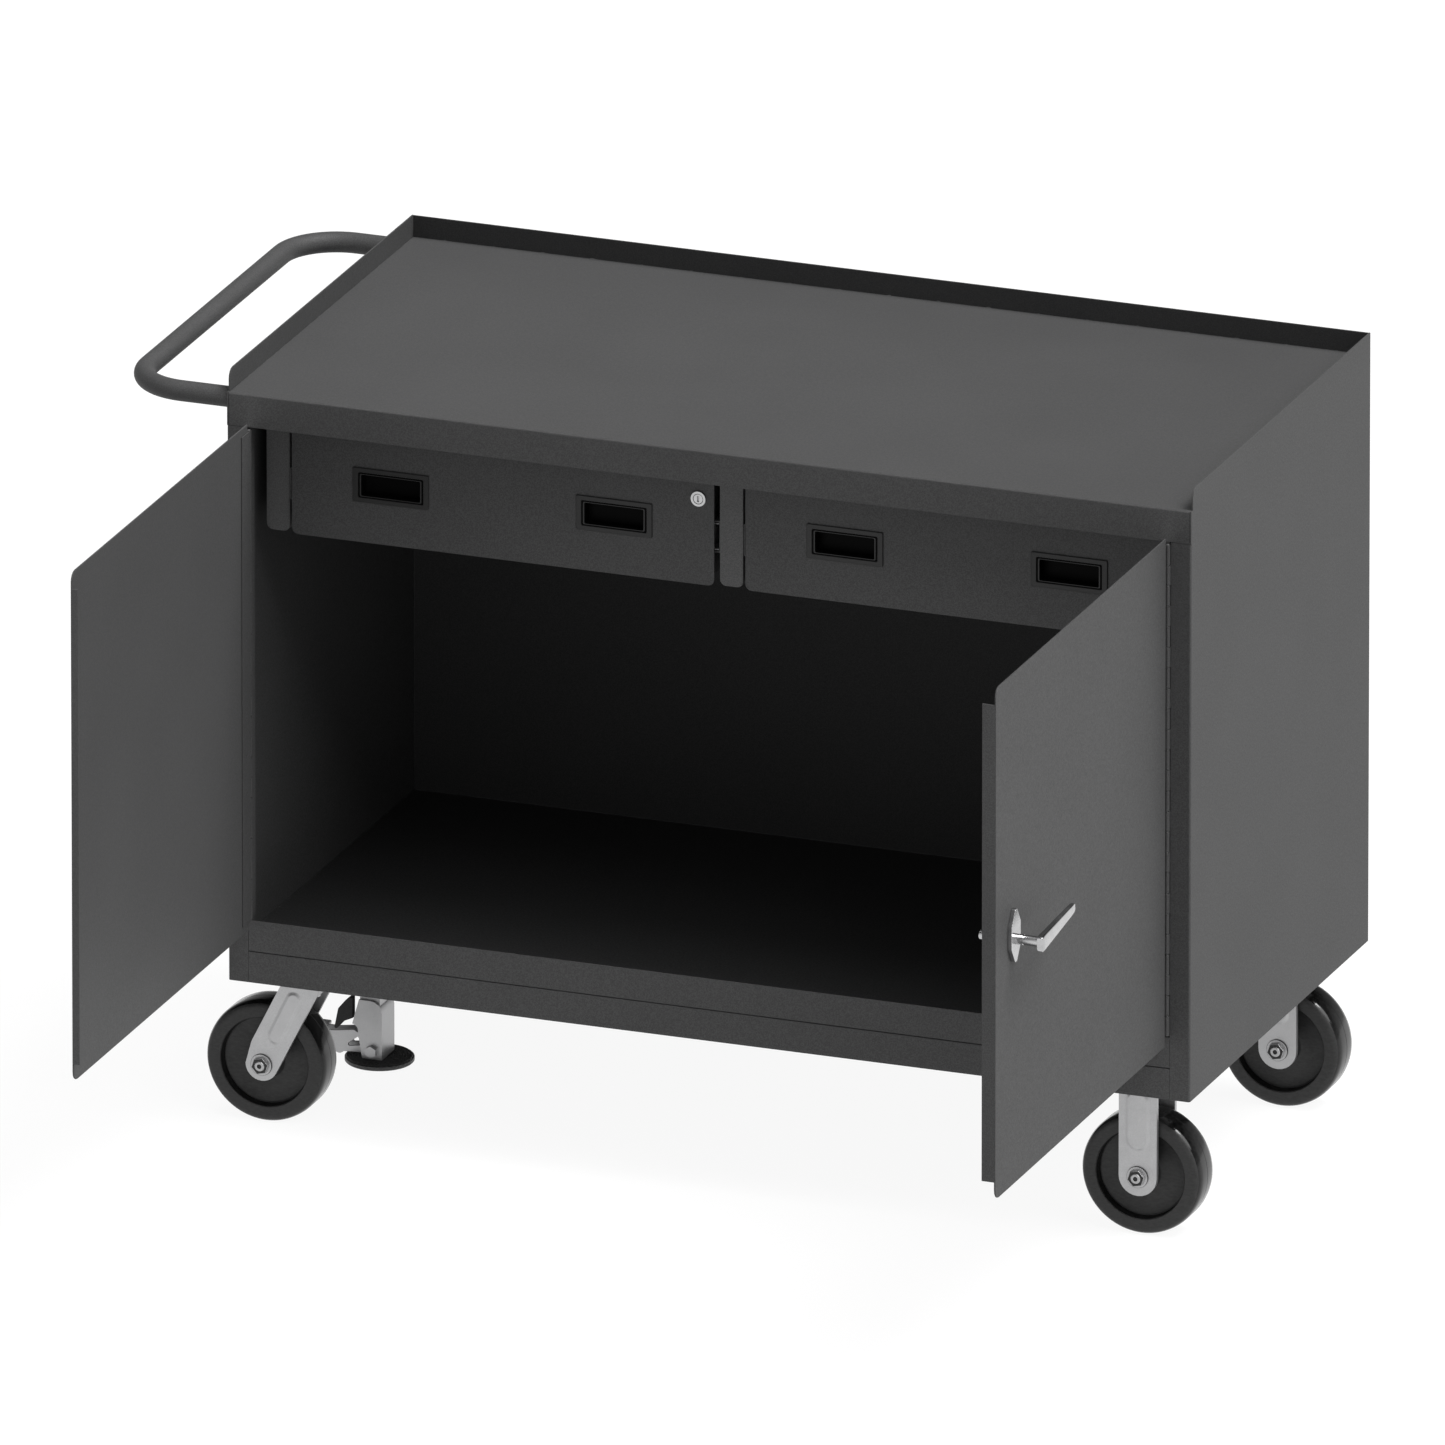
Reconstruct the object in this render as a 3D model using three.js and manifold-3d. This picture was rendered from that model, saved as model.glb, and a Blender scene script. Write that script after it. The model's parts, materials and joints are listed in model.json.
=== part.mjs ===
// A mobile workbench: a welded sheet-steel cabinet with a lipped worktop, two locking drawers
// behind two hinged doors, a push handle, two swivel and two rigid casters and a floor lock.
// Millimetres. X runs along the bench, -Y is the front, +Z is up, and the floor is at Z = 0.
// The doors are modelled closed in the frame of their hinge pin and stand open by `door.open`.
import * as THREE from 'three';
import { mergeVertices } from 'three/addons/utils/BufferGeometryUtils.js';
import Module from 'manifold-3d';

// ---------------------------------------------------------------- driving dimensions

const touch = 0.3; // gap kept between pieces that bear on each other
const bench = { width: 1222, depth: 612, height: 741, lip: 27, sheet: 1.9, bend: 2.5 };
const apron = { height: 41 };
const lip = { setback: 5.5, corner: 12 };
const stile = { face: 25.4, hingeReturn: 22 };
const floor = { skirt: 39, nose: 5.7 };
const sill = { height: 39.5, foot: 25, fold: 1.8 };
const channel = { width: 120, sheet: 3 };
const pushBar = { tube: 12.7, wall: 2.1, reach: 134, inset: 17, bend: 70, drop: 11.5 };
const hanger = { width: 29.5, offset: 19.5, recess: 79, behind: 56, drop: 195, corner: 8, sheet: 1.9 };
const rail = { height: 40, depth: 9, sheet: 1.5, play: 1.5, rise: 60 };
const drawer = { height: 135, gap: 5, proud: 6, sheet: 1.9, wall: 1.5, behind: 20, clear: 13.35 };
const drawerBox = { rise: 8, height: 117 };
const pull = { width: 97, height: 43.5, inner: 74.5, innerHeight: 26, depth: 14, wall: 1.2, proud: 1.6 };
const pullPlace = { spread: 142, rise: 72.5, clear: 0.5 };
const lock = { radius: 9.5, body: 8, plug: 6, flange: 2.2, inset: 19.5, fall: 27, play: 0.5 };
const keySlot = { half: 1.1, tall: 3.8, deep: 3 };
const lockCam = { reach: 35, sheet: 2, behind: 21.5, corner: 4 };
const strike = { left: 20, right: 15, foot: 19, clear: 1, above: 2 };
const door = { open: 90, start: 8, middle: 2.3, over: 7.2, under: 9.2, sheet: 1.9, corner: 12, gap: 0.7 };
const doorFlange = { left: 9.4, right: 17.5, topInset: 20.5, bottomInset: 22 };
const hinge = { barrel: 3, pin: 1.5, bore: 1.9, leaf: 1.4, leafWidth: 22, knuckles: 8, ends: 2.25 };
const knuckleSlit = 0.4;
const latch = { fromEdge: 55, rise: 300, spindle: 5.5, bore: 7, inside: 38.5, outside: 34 };
const lever = { length: 99, root: 10, tip: 6, thick: 9, tilt: 5.3 };
const plate = { height: 66, width: 30, thick: 5, taper: 14, lift: 4.5, point: 3 };
const cam = { start: 19, thick: 4, radius: 24, arm: 78, width: 24, pin: 3, pinRadius: 18 };
const lockRod = { start: 7, thick: 5, width: 16, aside: 15, lap: 18, retract: 5 };
const rodGuide = { width: 36, height: 20, wall: 3, play: 0.6, inset: 60 };
const wheel = { radius: 76.2, width: 50.8, flat: 27, hub: 20, hubHalf: 27.4, recess: 56, web: 11.4 };
const treadCorner = { start: 8, middle: 2, fall: 5 };
const caster = { rise: 120.8, plate: 5.7, recess: 6, insetX: 78, insetY: 67, trail: 49 };
const race = { thick: 6.1, upper: 38, lower: 36, crown: 6 };
const kingpin = { radius: 7, bore: 7.5, head: 12, headThick: 4 };
const fork = { inner: 28, thick: 6, width: 50, foot: 20.5, rigidFoot: 24, plateX: 52, plateY: 46 };
const knee = { reach: 13, rise: 28 };
const axle = { radius: 6.35, bore: 6.8, nut: 11, nutThick: 8 };
const floorLock = { offsetY: -9, lift: 15, pad: 42, padThick: 7, base: 3, guideFrom: 40 };
const clevis = { front: 10.9, back: 18.5, half: 21, sheet: 3, top: 81, corner: 15, play: 0.5 };
const flare = { reach: 8.5, rise: 50, corner: 2, setback: 4 };
const notch = { radius: 9, reach: 10, rise: 41 };
const pivot = { x: -2, rise: 18, bolt: 5, bore: 5.5, head: 6 };
const pedal = { hub: 7.5, half: 10, reach: 90, rise: 36, belly: 40 };
const tread = { half: 20, length: 32, thick: 4 };

// ---------------------------------------------------------------- levels and places

const halfWidth = bench.width / 2;
const halfDepth = bench.depth / 2;
const casterTop = wheel.radius + caster.rise;
const bottom = casterTop - caster.recess;
const top = bottom + bench.height;
const floorTop = bottom + floor.skirt;
const sillTop = floorTop + sill.height;
const openingTop = top - apron.height;
const betweenSides = halfWidth - bench.sheet - touch;
const betweenStiles = halfWidth - stile.face - touch;
const drawerBottom = top - hanger.drop;
const hangerFront = -halfDepth + hanger.recess;
const hangerLength = bench.depth - hanger.recess - hanger.behind;
const drawerDepth = hangerLength - drawer.behind;
const drawerFront = hangerFront - drawer.proud;
const bayInner = hanger.width / 2;
const bayOuter = halfWidth - hanger.offset - hanger.width;
const bayCentre = (bayInner + bayOuter) / 2;
const bayHalf = (bayOuter - bayInner) / 2;
const boxHalf = bayHalf - drawer.clear;
const doorBottom = sillTop - door.under;
const doorTop = openingTop + door.over;
const latchZ = sillTop + latch.rise;
const pinX = betweenStiles - hinge.barrel;
const doorInner = hinge.barrel - hinge.leaf - touch;
const pinY = -halfDepth - doorInner - door.gap;
const doorEnd = pinX - door.middle;
const latchX = doorEnd - latch.fromEdge;
const casterX = halfWidth - caster.insetX;
const casterY = halfDepth - caster.insetY;

// ---------------------------------------------------------------- finishes

const finish = {
  paint: { color: 0x505152, roughness: 0.6, metalness: 0.15 },
  darkPaint: { color: 0x3c3d3e, roughness: 0.6, metalness: 0.15 },
  chrome: { color: 0xd8d8d8, roughness: 0.15, metalness: 1 },
  zinc: { color: 0xb4b4b0, roughness: 0.35, metalness: 0.9 },
  black: { color: 0x0c0c0c, roughness: 0.3, metalness: 0 },
  rubber: { color: 0x1a1a1a, roughness: 0.9, metalness: 0 },
};

// ---------------------------------------------------------------- solid helpers

const wasm = await Module();
wasm.setup();
const unitX = new THREE.Vector3(1, 0, 0);
const unitY = new THREE.Vector3(0, 1, 0);
const unitZ = new THREE.Vector3(0, 0, 1);

// An outline across x is drawn in (y, z), across y in (x, z), and across z in (x, y).
const across = {
  x: new THREE.Matrix4().makeBasis(unitY, unitZ, unitX),
  y: new THREE.Matrix4().makeBasis(unitX, unitZ, unitY.clone().negate()),
  z: new THREE.Matrix4(),
};

function solid(geometry) {
  geometry.deleteAttribute('normal');
  geometry.deleteAttribute('uv');
  const merged = mergeVertices(geometry);
  const vertProperties = merged.attributes.position.array;
  const triVerts = Uint32Array.from(merged.index.array);
  return new wasm.Manifold(new wasm.Mesh({ numProp: 3, vertProperties, triVerts }));
}

function join(...solids) {
  return solids.reduce((whole, next) => whole.add(next));
}

function cut(body, ...tools) {
  return tools.reduce((rest, tool) => rest.subtract(tool), body);
}

function cuboid([x0, x1], [y0, y1], [z0, z1]) {
  const sizes = [x1 - x0, y1 - y0, z1 - z0].map(Math.abs);
  const geometry = new THREE.BoxGeometry(...sizes);
  geometry.translate((x0 + x1) / 2, (y0 + y1) / 2, (z0 + z1) / 2);
  return solid(geometry);
}

/** Moves a geometry that starts on its own XY plane to lie along an axis from one place to another. */
function lay(geometry, axis, from, to) {
  geometry.translate(0, 0, axis === 'y' ? -to : from);
  geometry.applyMatrix4(across[axis]);
  return solid(geometry);
}

function prism(shape, axis, from, to) {
  return lay(new THREE.ExtrudeGeometry(shape, { depth: to - from, bevelEnabled: false }), axis, from, to);
}

function rod(radius, axis, [a, b], from, to, sides = 16) {
  const geometry = new THREE.CylinderGeometry(radius, radius, to - from, sides);
  geometry.rotateX(Math.PI / 2);
  geometry.translate(a, b, (to - from) / 2);
  return lay(geometry, axis, from, to);
}

/** The points of one corner of an outline: the corner itself, or an arc where it has a radius. */
function cornerPoints(before, at, after, radius = 0, steps = 4) {
  if (!radius) return [at];
  const back = before.clone().sub(at).normalize();
  const ahead = after.clone().sub(at).normalize();
  const half = Math.acos(THREE.MathUtils.clamp(back.dot(ahead), -1, 1)) / 2;
  const bisector = back.clone().add(ahead).normalize();
  const centre = at.clone().addScaledVector(bisector, radius / Math.sin(half));
  const start = at.clone().addScaledVector(back, radius / Math.tan(half));
  const sweep = (2 * half - Math.PI) * Math.sign(back.cross(ahead));
  const turns = Array.from({ length: steps + 1 }, (_, k) => (sweep * k) / steps);
  return turns.map((turn) => start.clone().rotateAround(centre, turn));
}

/** A closed outline through [a, b] points; a third number rounds that corner. */
function outline(points) {
  const at = points.map(([a, b]) => new THREE.Vector2(a, b));
  const next = (i) => at[(i + 1) % at.length];
  const corner = ([, , radius], i) => cornerPoints(at.at(i - 1), at[i], next(i), radius);
  return new THREE.Shape(points.flatMap(corner));
}

function rectangle([a0, a1], [b0, b1], lower = 0, upper = 0) {
  return outline([[a0, b0, lower], [a1, b0, lower], [a1, b1, upper], [a0, b1, upper]]);
}

function piece(name, body, look) {
  const { vertProperties, triVerts } = body.getMesh();
  const geometry = new THREE.BufferGeometry();
  geometry.setAttribute('position', new THREE.BufferAttribute(vertProperties, 3));
  geometry.setIndex(new THREE.BufferAttribute(triVerts, 1));
  geometry.computeVertexNormals();
  const mesh = new THREE.Mesh(geometry, new THREE.MeshStandardMaterial(look));
  mesh.name = name;
  return mesh;
}

/** Puts meshes in a group at a place, turned about the vertical. */
function placed(meshes, [x, y, z], turn = 0) {
  const group = new THREE.Group();
  group.add(...meshes);
  group.position.set(x, y, z);
  group.rotation.z = turn;
  return group;
}

// ---------------------------------------------------------------- cabinet shell

function worktop() {
  const front = -halfDepth;
  const inner = front + bench.sheet;
  const back = halfDepth - bench.sheet - touch;
  const section = outline([
    [front, openingTop], [front, top, bench.bend], [back, top],
    [back, top - bench.sheet], [inner, top - bench.sheet], [inner, openingTop],
  ]);
  return piece('worktop', prism(section, 'x', -betweenSides, betweenSides), finish.paint);
}

/** A side sheet, its front stile, and above the floor the return that carries the hinge. */
function sidePanel(name, side) {
  const outer = side * halfWidth;
  const skin = outer - side * bench.sheet;
  const edge = outer - side * stile.face;
  const behind = -halfDepth + bench.sheet;
  const stileTop = openingTop - touch;
  const returnFrom = floorTop + touch;
  const stileSection = outline([
    [outer, halfDepth], [outer, -halfDepth, bench.bend], [edge, -halfDepth],
    [edge, behind], [skin, behind], [skin, halfDepth],
  ]);
  const sheetSide = outline([
    [-halfDepth, returnFrom], [-halfDepth, top], [-halfDepth + lip.setback, top],
    [-halfDepth + lip.setback, top + bench.lip, lip.corner], [halfDepth, top + bench.lip],
    [halfDepth, returnFrom],
  ]);
  const hingeReturn = cuboid(
    [edge, edge + side * bench.sheet],
    [-halfDepth, -halfDepth + stile.hingeReturn],
    [returnFrom, stileTop],
  );
  const sheet = prism(sheetSide, 'x', Math.min(outer, skin), Math.max(outer, skin));
  const roundedEdge = halfWidth - bench.bend;
  const sharpCorner = cuboid([side * roundedEdge, outer + side], [-halfDepth - 1, -halfDepth + bench.bend],
    [returnFrom, stileTop]);
  const stileBar = prism(stileSection, 'z', bottom, stileTop);
  return piece(name, join(cut(sheet, sharpCorner), stileBar, hingeReturn), finish.paint);
}

function backPanel() {
  const body = cuboid([-betweenSides, betweenSides], [halfDepth - bench.sheet, halfDepth],
    [bottom, top + bench.lip]);
  return piece('back_panel', body, finish.paint);
}

function floorPan() {
  const front = -halfDepth;
  const back = halfDepth - bench.sheet - touch;
  const under = floorTop - bench.sheet;
  const sheet = cuboid([-betweenSides, betweenSides], [front + bench.sheet + touch, back],
    [under, floorTop]);
  const skirtSection = outline([
    [front, bottom], [front, floorTop, sill.fold], [front + floor.nose, floorTop],
    [front + floor.nose, under], [front + bench.sheet, under], [front + bench.sheet, bottom],
  ]);
  const skirt = prism(skirtSection, 'x', -betweenStiles, betweenStiles);
  const tail = cuboid([-betweenSides, betweenSides], [back - bench.sheet, back], [bottom, floorTop]);
  return piece('floor_pan', join(sheet, skirt, tail), finish.paint);
}

function doorSill() {
  const front = -halfDepth;
  const base = floorTop + touch;
  const section = outline([
    [front, base, sill.fold], [front, sillTop],
    [front + bench.sheet, sillTop], [front + bench.sheet, base + bench.sheet],
    [front + sill.foot, base + bench.sheet], [front + sill.foot, base],
  ]);
  return piece('door_sill_rail', prism(section, 'x', -betweenStiles, betweenStiles), finish.paint);
}

function casterChannel(name, side) {
  const web = casterTop + touch;
  const rim = floorTop - bench.sheet - touch;
  const half = channel.width / 2;
  const centre = side * casterX;
  const section = outline([
    [centre - half, web], [centre + half, web], [centre + half, rim],
    [centre + half - channel.sheet, rim], [centre + half - channel.sheet, web + channel.sheet],
    [centre - half + channel.sheet, web + channel.sheet], [centre - half + channel.sheet, rim],
    [centre - half, rim],
  ]);
  const front = -halfDepth + bench.sheet + touch;
  const back = halfDepth - 2 * (bench.sheet + touch);
  return piece(name, prism(section, 'y', front, back), finish.paint);
}

/** A path of straights and tangent bends, stepped once on a straight and evenly round a bend. */
class BentPath extends THREE.Curve {
  constructor(stations) {
    super();
    this.stations = stations;
  }

  getPoint(t, target = new THREE.Vector3()) {
    const along = t * (this.stations.length - 1);
    const from = Math.min(Math.floor(along), this.stations.length - 2);
    return target.lerpVectors(this.stations[from], this.stations[from + 1], along - from);
  }

  getUtoTmapping(u) {
    return u;
  }
}

function bendStations(centreX, centreY, radius, fromAngle, toAngle, z, steps = 6) {
  return Array.from({ length: steps + 1 }, (_, i) => {
    const angle = THREE.MathUtils.degToRad(fromAngle + ((toAngle - fromAngle) * i) / steps);
    return new THREE.Vector3(centreX + radius * Math.cos(angle), centreY + radius * Math.sin(angle), z);
  });
}

function pushHandle() {
  const root = -halfWidth - touch;
  const bar = -halfWidth - pushBar.reach;
  const leg = halfDepth - pushBar.inset;
  const z = top - pushBar.drop;
  const centreX = bar + pushBar.bend;
  const centreY = leg - pushBar.bend;
  const stations = [
    new THREE.Vector3(root, -leg, z),
    ...bendStations(centreX, -centreY, pushBar.bend, 270, 180, z),
    ...bendStations(centreX, centreY, pushBar.bend, 180, 90, z),
    new THREE.Vector3(root, leg, z),
  ];
  const ring = new THREE.Shape().absarc(0, 0, pushBar.tube, 0, 2 * Math.PI);
  ring.holes.push(new THREE.Path().absarc(0, 0, pushBar.tube - pushBar.wall, 0, 2 * Math.PI, true));
  const options = { extrudePath: new BentPath(stations), steps: stations.length - 1, curveSegments: 6 };
  return piece('push_handle', solid(new THREE.ExtrudeGeometry(ring, options)), finish.paint);
}

// ---------------------------------------------------------------- drawers

/** The fixed half of a slide: a channel, open towards the drawer, welded along a hanger's side. */
function slideRail(wallX, side) {
  const deep = wallX + side * rail.depth;
  const web = wallX + side * rail.sheet;
  const middle = drawerBottom + rail.rise;
  const low = middle - rail.height / 2;
  const high = middle + rail.height / 2;
  const section = outline([
    [wallX - side, low], [deep, low], [deep, low + rail.sheet], [web, low + rail.sheet],
    [web, high - rail.sheet], [deep, high - rail.sheet], [deep, high], [wallX - side, high],
  ]);
  return prism(section, 'y', hangerFront + 2, hangerFront + 2 + drawerDepth);
}

/** A sheet-steel box under the worktop, open at the back, with rails on the sides that face a drawer. */
function drawerHanger(name, centreX, railSides) {
  const half = hanger.width / 2;
  const inner = half - hanger.sheet;
  const hangerTop = top - bench.sheet - touch;
  const shell = rectangle([centreX - half, centreX + half], [drawerBottom, hangerTop], hanger.corner);
  const hollow = rectangle([centreX - inner, centreX + inner],
    [drawerBottom + hanger.sheet, hangerTop - hanger.sheet], hanger.corner - hanger.sheet);
  const back = hangerFront + hangerLength;
  const body = cut(
    prism(shell, 'y', hangerFront, back),
    prism(hollow, 'y', hangerFront + hanger.sheet, back + 1),
  );
  const rails = railSides.map((side) => slideRail(centreX + side * half, side));
  return piece(name, join(body, ...rails), finish.darkPaint);
}

/** The angle under the worktop that the left drawer's cam turns up behind. */
function lockStrike() {
  const centreX = -bayCentre + bayHalf - drawer.gap - lock.inset;
  const span = [centreX - strike.left, centreX + strike.right];
  const face = camFace() - strike.clear;
  const hookFrom = drawerBottom + drawer.height + strike.above;
  const strikeTop = top - bench.sheet - touch;
  const blade = cuboid(span, [face - bench.sheet, face], [hookFrom, strikeTop]);
  const foot = cuboid(span, [face - strike.foot, face], [strikeTop - bench.sheet, strikeTop]);
  return piece('drawer_lock_strike', join(blade, foot), finish.darkPaint);
}

/** The front face of the lock's cam, in the bench's own frame. */
function camFace() {
  return drawerFront + lockCam.behind;
}

function pullHole(x) {
  const half = pull.inner / 2 + pull.wall + pullPlace.clear;
  const high = pull.innerHeight / 2 + pull.wall + pullPlace.clear;
  return cuboid([x - half, x + half], [-1, drawer.sheet + 1],
    [pullPlace.rise - high, pullPlace.rise + high]);
}

/** A drawer in the frame of its front's bottom middle: a welded tray behind a larger front. */
function drawerBody(name, lockX) {
  const frontHalf = bayHalf - drawer.gap;
  const faceShape = rectangle([-frontHalf, frontHalf], [0, drawer.height], hanger.corner);
  const face = prism(faceShape, 'y', 0, drawer.sheet);
  const low = drawerBox.rise;
  const high = low + drawerBox.height;
  const tray = cut(
    cuboid([-boxHalf, boxHalf], [0, drawerDepth], [low, high]),
    cuboid([-boxHalf + drawer.wall, boxHalf - drawer.wall], [drawer.sheet, drawerDepth - drawer.wall],
      [low + drawer.wall, high + 1]),
  );
  const holes = [pullHole(-pullPlace.spread), pullHole(pullPlace.spread)];
  const lockPlace = [lockX, drawer.height - lock.fall];
  if (lockX) holes.push(rod(lock.body + lock.play, 'y', lockPlace, -1, drawer.sheet + 1));
  return piece(name, cut(join(face, tray), ...holes), finish.darkPaint);
}

function cupPull(name, x) {
  const half = pull.inner / 2;
  const high = pull.innerHeight / 2;
  const rise = pullPlace.rise;
  const wall = pull.wall;
  const back = -touch;
  const edge = cuboid([x - pull.width / 2, x + pull.width / 2], [back - pull.proud, back],
    [rise - pull.height / 2, rise + pull.height / 2]);
  const shell = cuboid([x - half - wall, x + half + wall], [back - pull.proud, pull.depth],
    [rise - high - wall, rise + high + wall]);
  const hollow = cuboid([x - half, x + half], [back - pull.proud - 1, pull.depth - wall],
    [rise - high, rise + high]);
  return piece(name, cut(join(edge, shell), hollow), finish.black);
}

/** The moving half of a slide: a channel on the drawer's side that runs inside the hanger's rail. */
function slideRunner(name, side) {
  const onDrawer = side * (boxHalf + touch);
  const web = onDrawer + side * rail.sheet;
  const tip = side * (bayHalf - rail.sheet - 0.8);
  const half = rail.height / 2 - rail.sheet - rail.play;
  const low = rail.rise - half;
  const high = rail.rise + half;
  const section = outline([
    [onDrawer, low], [tip, low], [tip, low + rail.sheet], [web, low + rail.sheet],
    [web, high - rail.sheet], [tip, high - rail.sheet], [tip, high], [onDrawer, high],
  ]);
  return piece(name, prism(section, 'y', drawer.sheet + 6, drawerDepth - 1), finish.zinc);
}

function lockParts(x) {
  const centre = [x, drawer.height - lock.fall];
  const face = -touch - lock.flange;
  const rear = lockCam.behind;
  const [, z] = centre;
  const barrel = cut(
    join(
      rod(lock.radius, 'y', centre, face, -touch, 24),
      rod(lock.body, 'y', centre, -touch - 1, rear - 3),
    ),
    rod(lock.plug + lock.play, 'y', centre, face - 1, rear),
  );
  const slot = cuboid([x - keySlot.half, x + keySlot.half], [face - 1, face + keySlot.deep],
    [z - keySlot.tall, z + keySlot.tall]);
  const blade = outline([
    [x, z - lock.plug], [x, z + lock.plug],
    [x - lockCam.reach, z + lock.plug, lockCam.corner], [x - lockCam.reach, z - lock.plug, lockCam.corner],
  ]);
  const plug = join(
    cut(rod(lock.plug, 'y', centre, face + 0.3, rear + 1), slot),
    rod(lock.plug, 'y', centre, rear, rear + lockCam.sheet),
    prism(blade, 'y', rear, rear + lockCam.sheet),
  );
  return [
    piece('drawer_lock_barrel', barrel, finish.chrome),
    piece('drawer_lock_plug', plug, finish.chrome),
  ];
}

function drawerSet(label, side, lockX) {
  const pieces = [
    drawerBody(`${label}_drawer`, lockX),
    cupPull(`${label}_drawer_left_pull`, -pullPlace.spread),
    cupPull(`${label}_drawer_right_pull`, pullPlace.spread),
    slideRunner(`${label}_drawer_left_runner`, -1),
    slideRunner(`${label}_drawer_right_runner`, 1),
  ];
  if (lockX) pieces.push(...lockParts(lockX));
  return placed(pieces, [side * bayCentre, drawerFront, drawerBottom]);
}

// ---------------------------------------------------------------- hinges and doors
// `way` is +1 for the left door, which reaches towards +X when closed, and -1 for the right.

const hingeFrom = sillTop + hinge.ends;
const hingeTo = openingTop - hinge.ends;
const knuckleLength = (hingeTo - hingeFrom) / hinge.knuckles;

/** Knuckles of one leaf, and the tab that joins each one to the leaf. */
function knuckles(first, tab) {
  const parts = [];
  for (let i = first; i < hinge.knuckles; i += 2) {
    const from = hingeFrom + i * knuckleLength + knuckleSlit / 2;
    const to = from + knuckleLength - knuckleSlit;
    parts.push(rod(hinge.barrel, 'z', [0, 0], from, to, 10), tab(from, to));
  }
  return parts;
}

function hingeLeaf(name, plateBody, knuckleParts) {
  const bore = rod(hinge.bore, 'z', [0, 0], hingeFrom - 1, hingeTo + 1, 10);
  return piece(name, cut(join(plateBody, ...knuckleParts), bore), finish.darkPaint);
}

function hingeParts(label, way) {
  const clear = hinge.barrel + 0.4;
  const near = hinge.barrel - hinge.leaf;
  const frameX = [-way * hinge.barrel, -way * near];
  const doorY = [near, hinge.barrel];
  const framePlate = cuboid(frameX, [clear, stile.hingeReturn], [hingeFrom, hingeTo]);
  const doorX = [way * clear, way * (door.start + hinge.leafWidth)];
  const doorPlate = cuboid(doorX, doorY, [hingeFrom, hingeTo]);
  const frameTab = (from, to) => cuboid(frameX, [0, clear + 1], [from, to]);
  const doorTab = (from, to) => cuboid([0, way * (clear + 1)], doorY, [from, to]);
  return {
    frame: hingeLeaf(`${label}_hinge_frame_leaf`, framePlate, knuckles(0, frameTab)),
    pin: piece(`${label}_hinge_pin`, rod(hinge.pin, 'z', [0, 0], hingeFrom, hingeTo, 10), finish.zinc),
    door: hingeLeaf(`${label}_hinge_door_leaf`, doorPlate, knuckles(1, doorTab)),
  };
}

function doorPanel(name, way, flangeDepth) {
  const outerFace = doorInner - door.sheet;
  const end = doorEnd;
  const panel = outline([
    [way * door.start, doorBottom], [way * end, doorBottom, door.corner],
    [way * end, doorTop, door.corner], [way * door.start, doorTop],
  ]);
  const flange = cuboid([way * (end - door.sheet), way * end], [outerFace, outerFace + flangeDepth],
    [doorBottom + doorFlange.bottomInset, doorTop - doorFlange.topInset]);
  return join(prism(panel, 'y', outerFace, doorInner), flange);
}

function escutcheon(way) {
  const back = doorInner - door.sheet - touch;
  const x = way * latchX;
  const half = plate.width / 2;
  const tall = plate.height / 2;
  const z = latchZ + plate.lift;
  const left = x - plate.point;
  const right = x + plate.point;
  const shape = outline([
    [x - half, z - plate.taper], [left, z - tall, 2], [right, z - tall, 2], [x + half, z - plate.taper],
    [x + half, z + plate.taper], [right, z + tall, 2], [left, z + tall, 2], [x - half, z + plate.taper],
  ]);
  const body = cut(
    prism(shape, 'y', back - plate.thick, back),
    rod(latch.bore - 0.5, 'y', [x, latchZ], back - plate.thick - 1, back + 1),
  );
  return piece('handle_escutcheon', body, finish.chrome);
}

/** Lever, shaft and spindle in one: the lever points at the hinge and rises a little. */
function leverHandle(way) {
  const x = way * latchX;
  const outerEnd = -latch.outside - lever.thick;
  const tilt = THREE.MathUtils.degToRad(lever.tilt);
  const tipX = x - way * lever.length * Math.cos(tilt);
  const tipZ = latchZ + lever.length * Math.sin(tilt);
  const along = new THREE.Vector2(tipX - x, tipZ - latchZ).normalize();
  const aside = new THREE.Vector2(-along.y, along.x);
  const edge = (cx, cz, r) => [cx + aside.x * r, cz + aside.y * r];
  const arm = outline([
    edge(x, latchZ, lever.root), edge(tipX, tipZ, lever.tip),
    edge(tipX, tipZ, -lever.tip), edge(x, latchZ, -lever.root),
  ]);
  const body = join(
    prism(arm, 'y', outerEnd, -latch.outside),
    rod(lever.root, 'y', [x, latchZ], outerEnd, -latch.outside, 20),
    rod(lever.tip, 'y', [tipX, tipZ], outerEnd, -latch.outside, 14),
    rod(latch.spindle, 'y', [x, latchZ], -latch.outside - 1, doorInner + latch.inside),
  );
  return piece('lever_handle', body, finish.chrome);
}

/** The plate on the spindle: a disc with two rod pins and the arm that holds the left door. */
function latchCam(way) {
  const x = way * latchX;
  const from = doorInner + cam.start;
  const half = cam.width / 2;
  const arm = rectangle([x - half, x + half], [latchZ - cam.arm, latchZ], 8);
  const pinStart = doorInner + lockRod.start + lockRod.thick + 0.5;
  const body = join(
    rod(cam.radius, 'y', [x, latchZ], from, from + cam.thick, 20),
    prism(arm, 'y', from, from + cam.thick),
    rod(cam.pin, 'y', [x - cam.pinRadius, latchZ], pinStart, from + 1, 10),
    rod(cam.pin, 'y', [x + cam.pinRadius, latchZ], pinStart, from + 1, 10),
  );
  const bore = rod(latch.spindle + touch, 'y', [x, latchZ], from - 1, from + cam.thick + 1);
  return piece('latch_cam', cut(body, bore), finish.zinc);
}

/** `up` is +1 for the rod that reaches the apron and -1 for the one that reaches the sill. */
function rodPlace(way, up) {
  const x = way * latchX + up * lockRod.aside;
  const tip = up > 0 ? openingTop - lockRod.retract : sillTop + lockRod.retract;
  return { x, tip, tail: latchZ - up * lockRod.lap };
}

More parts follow.
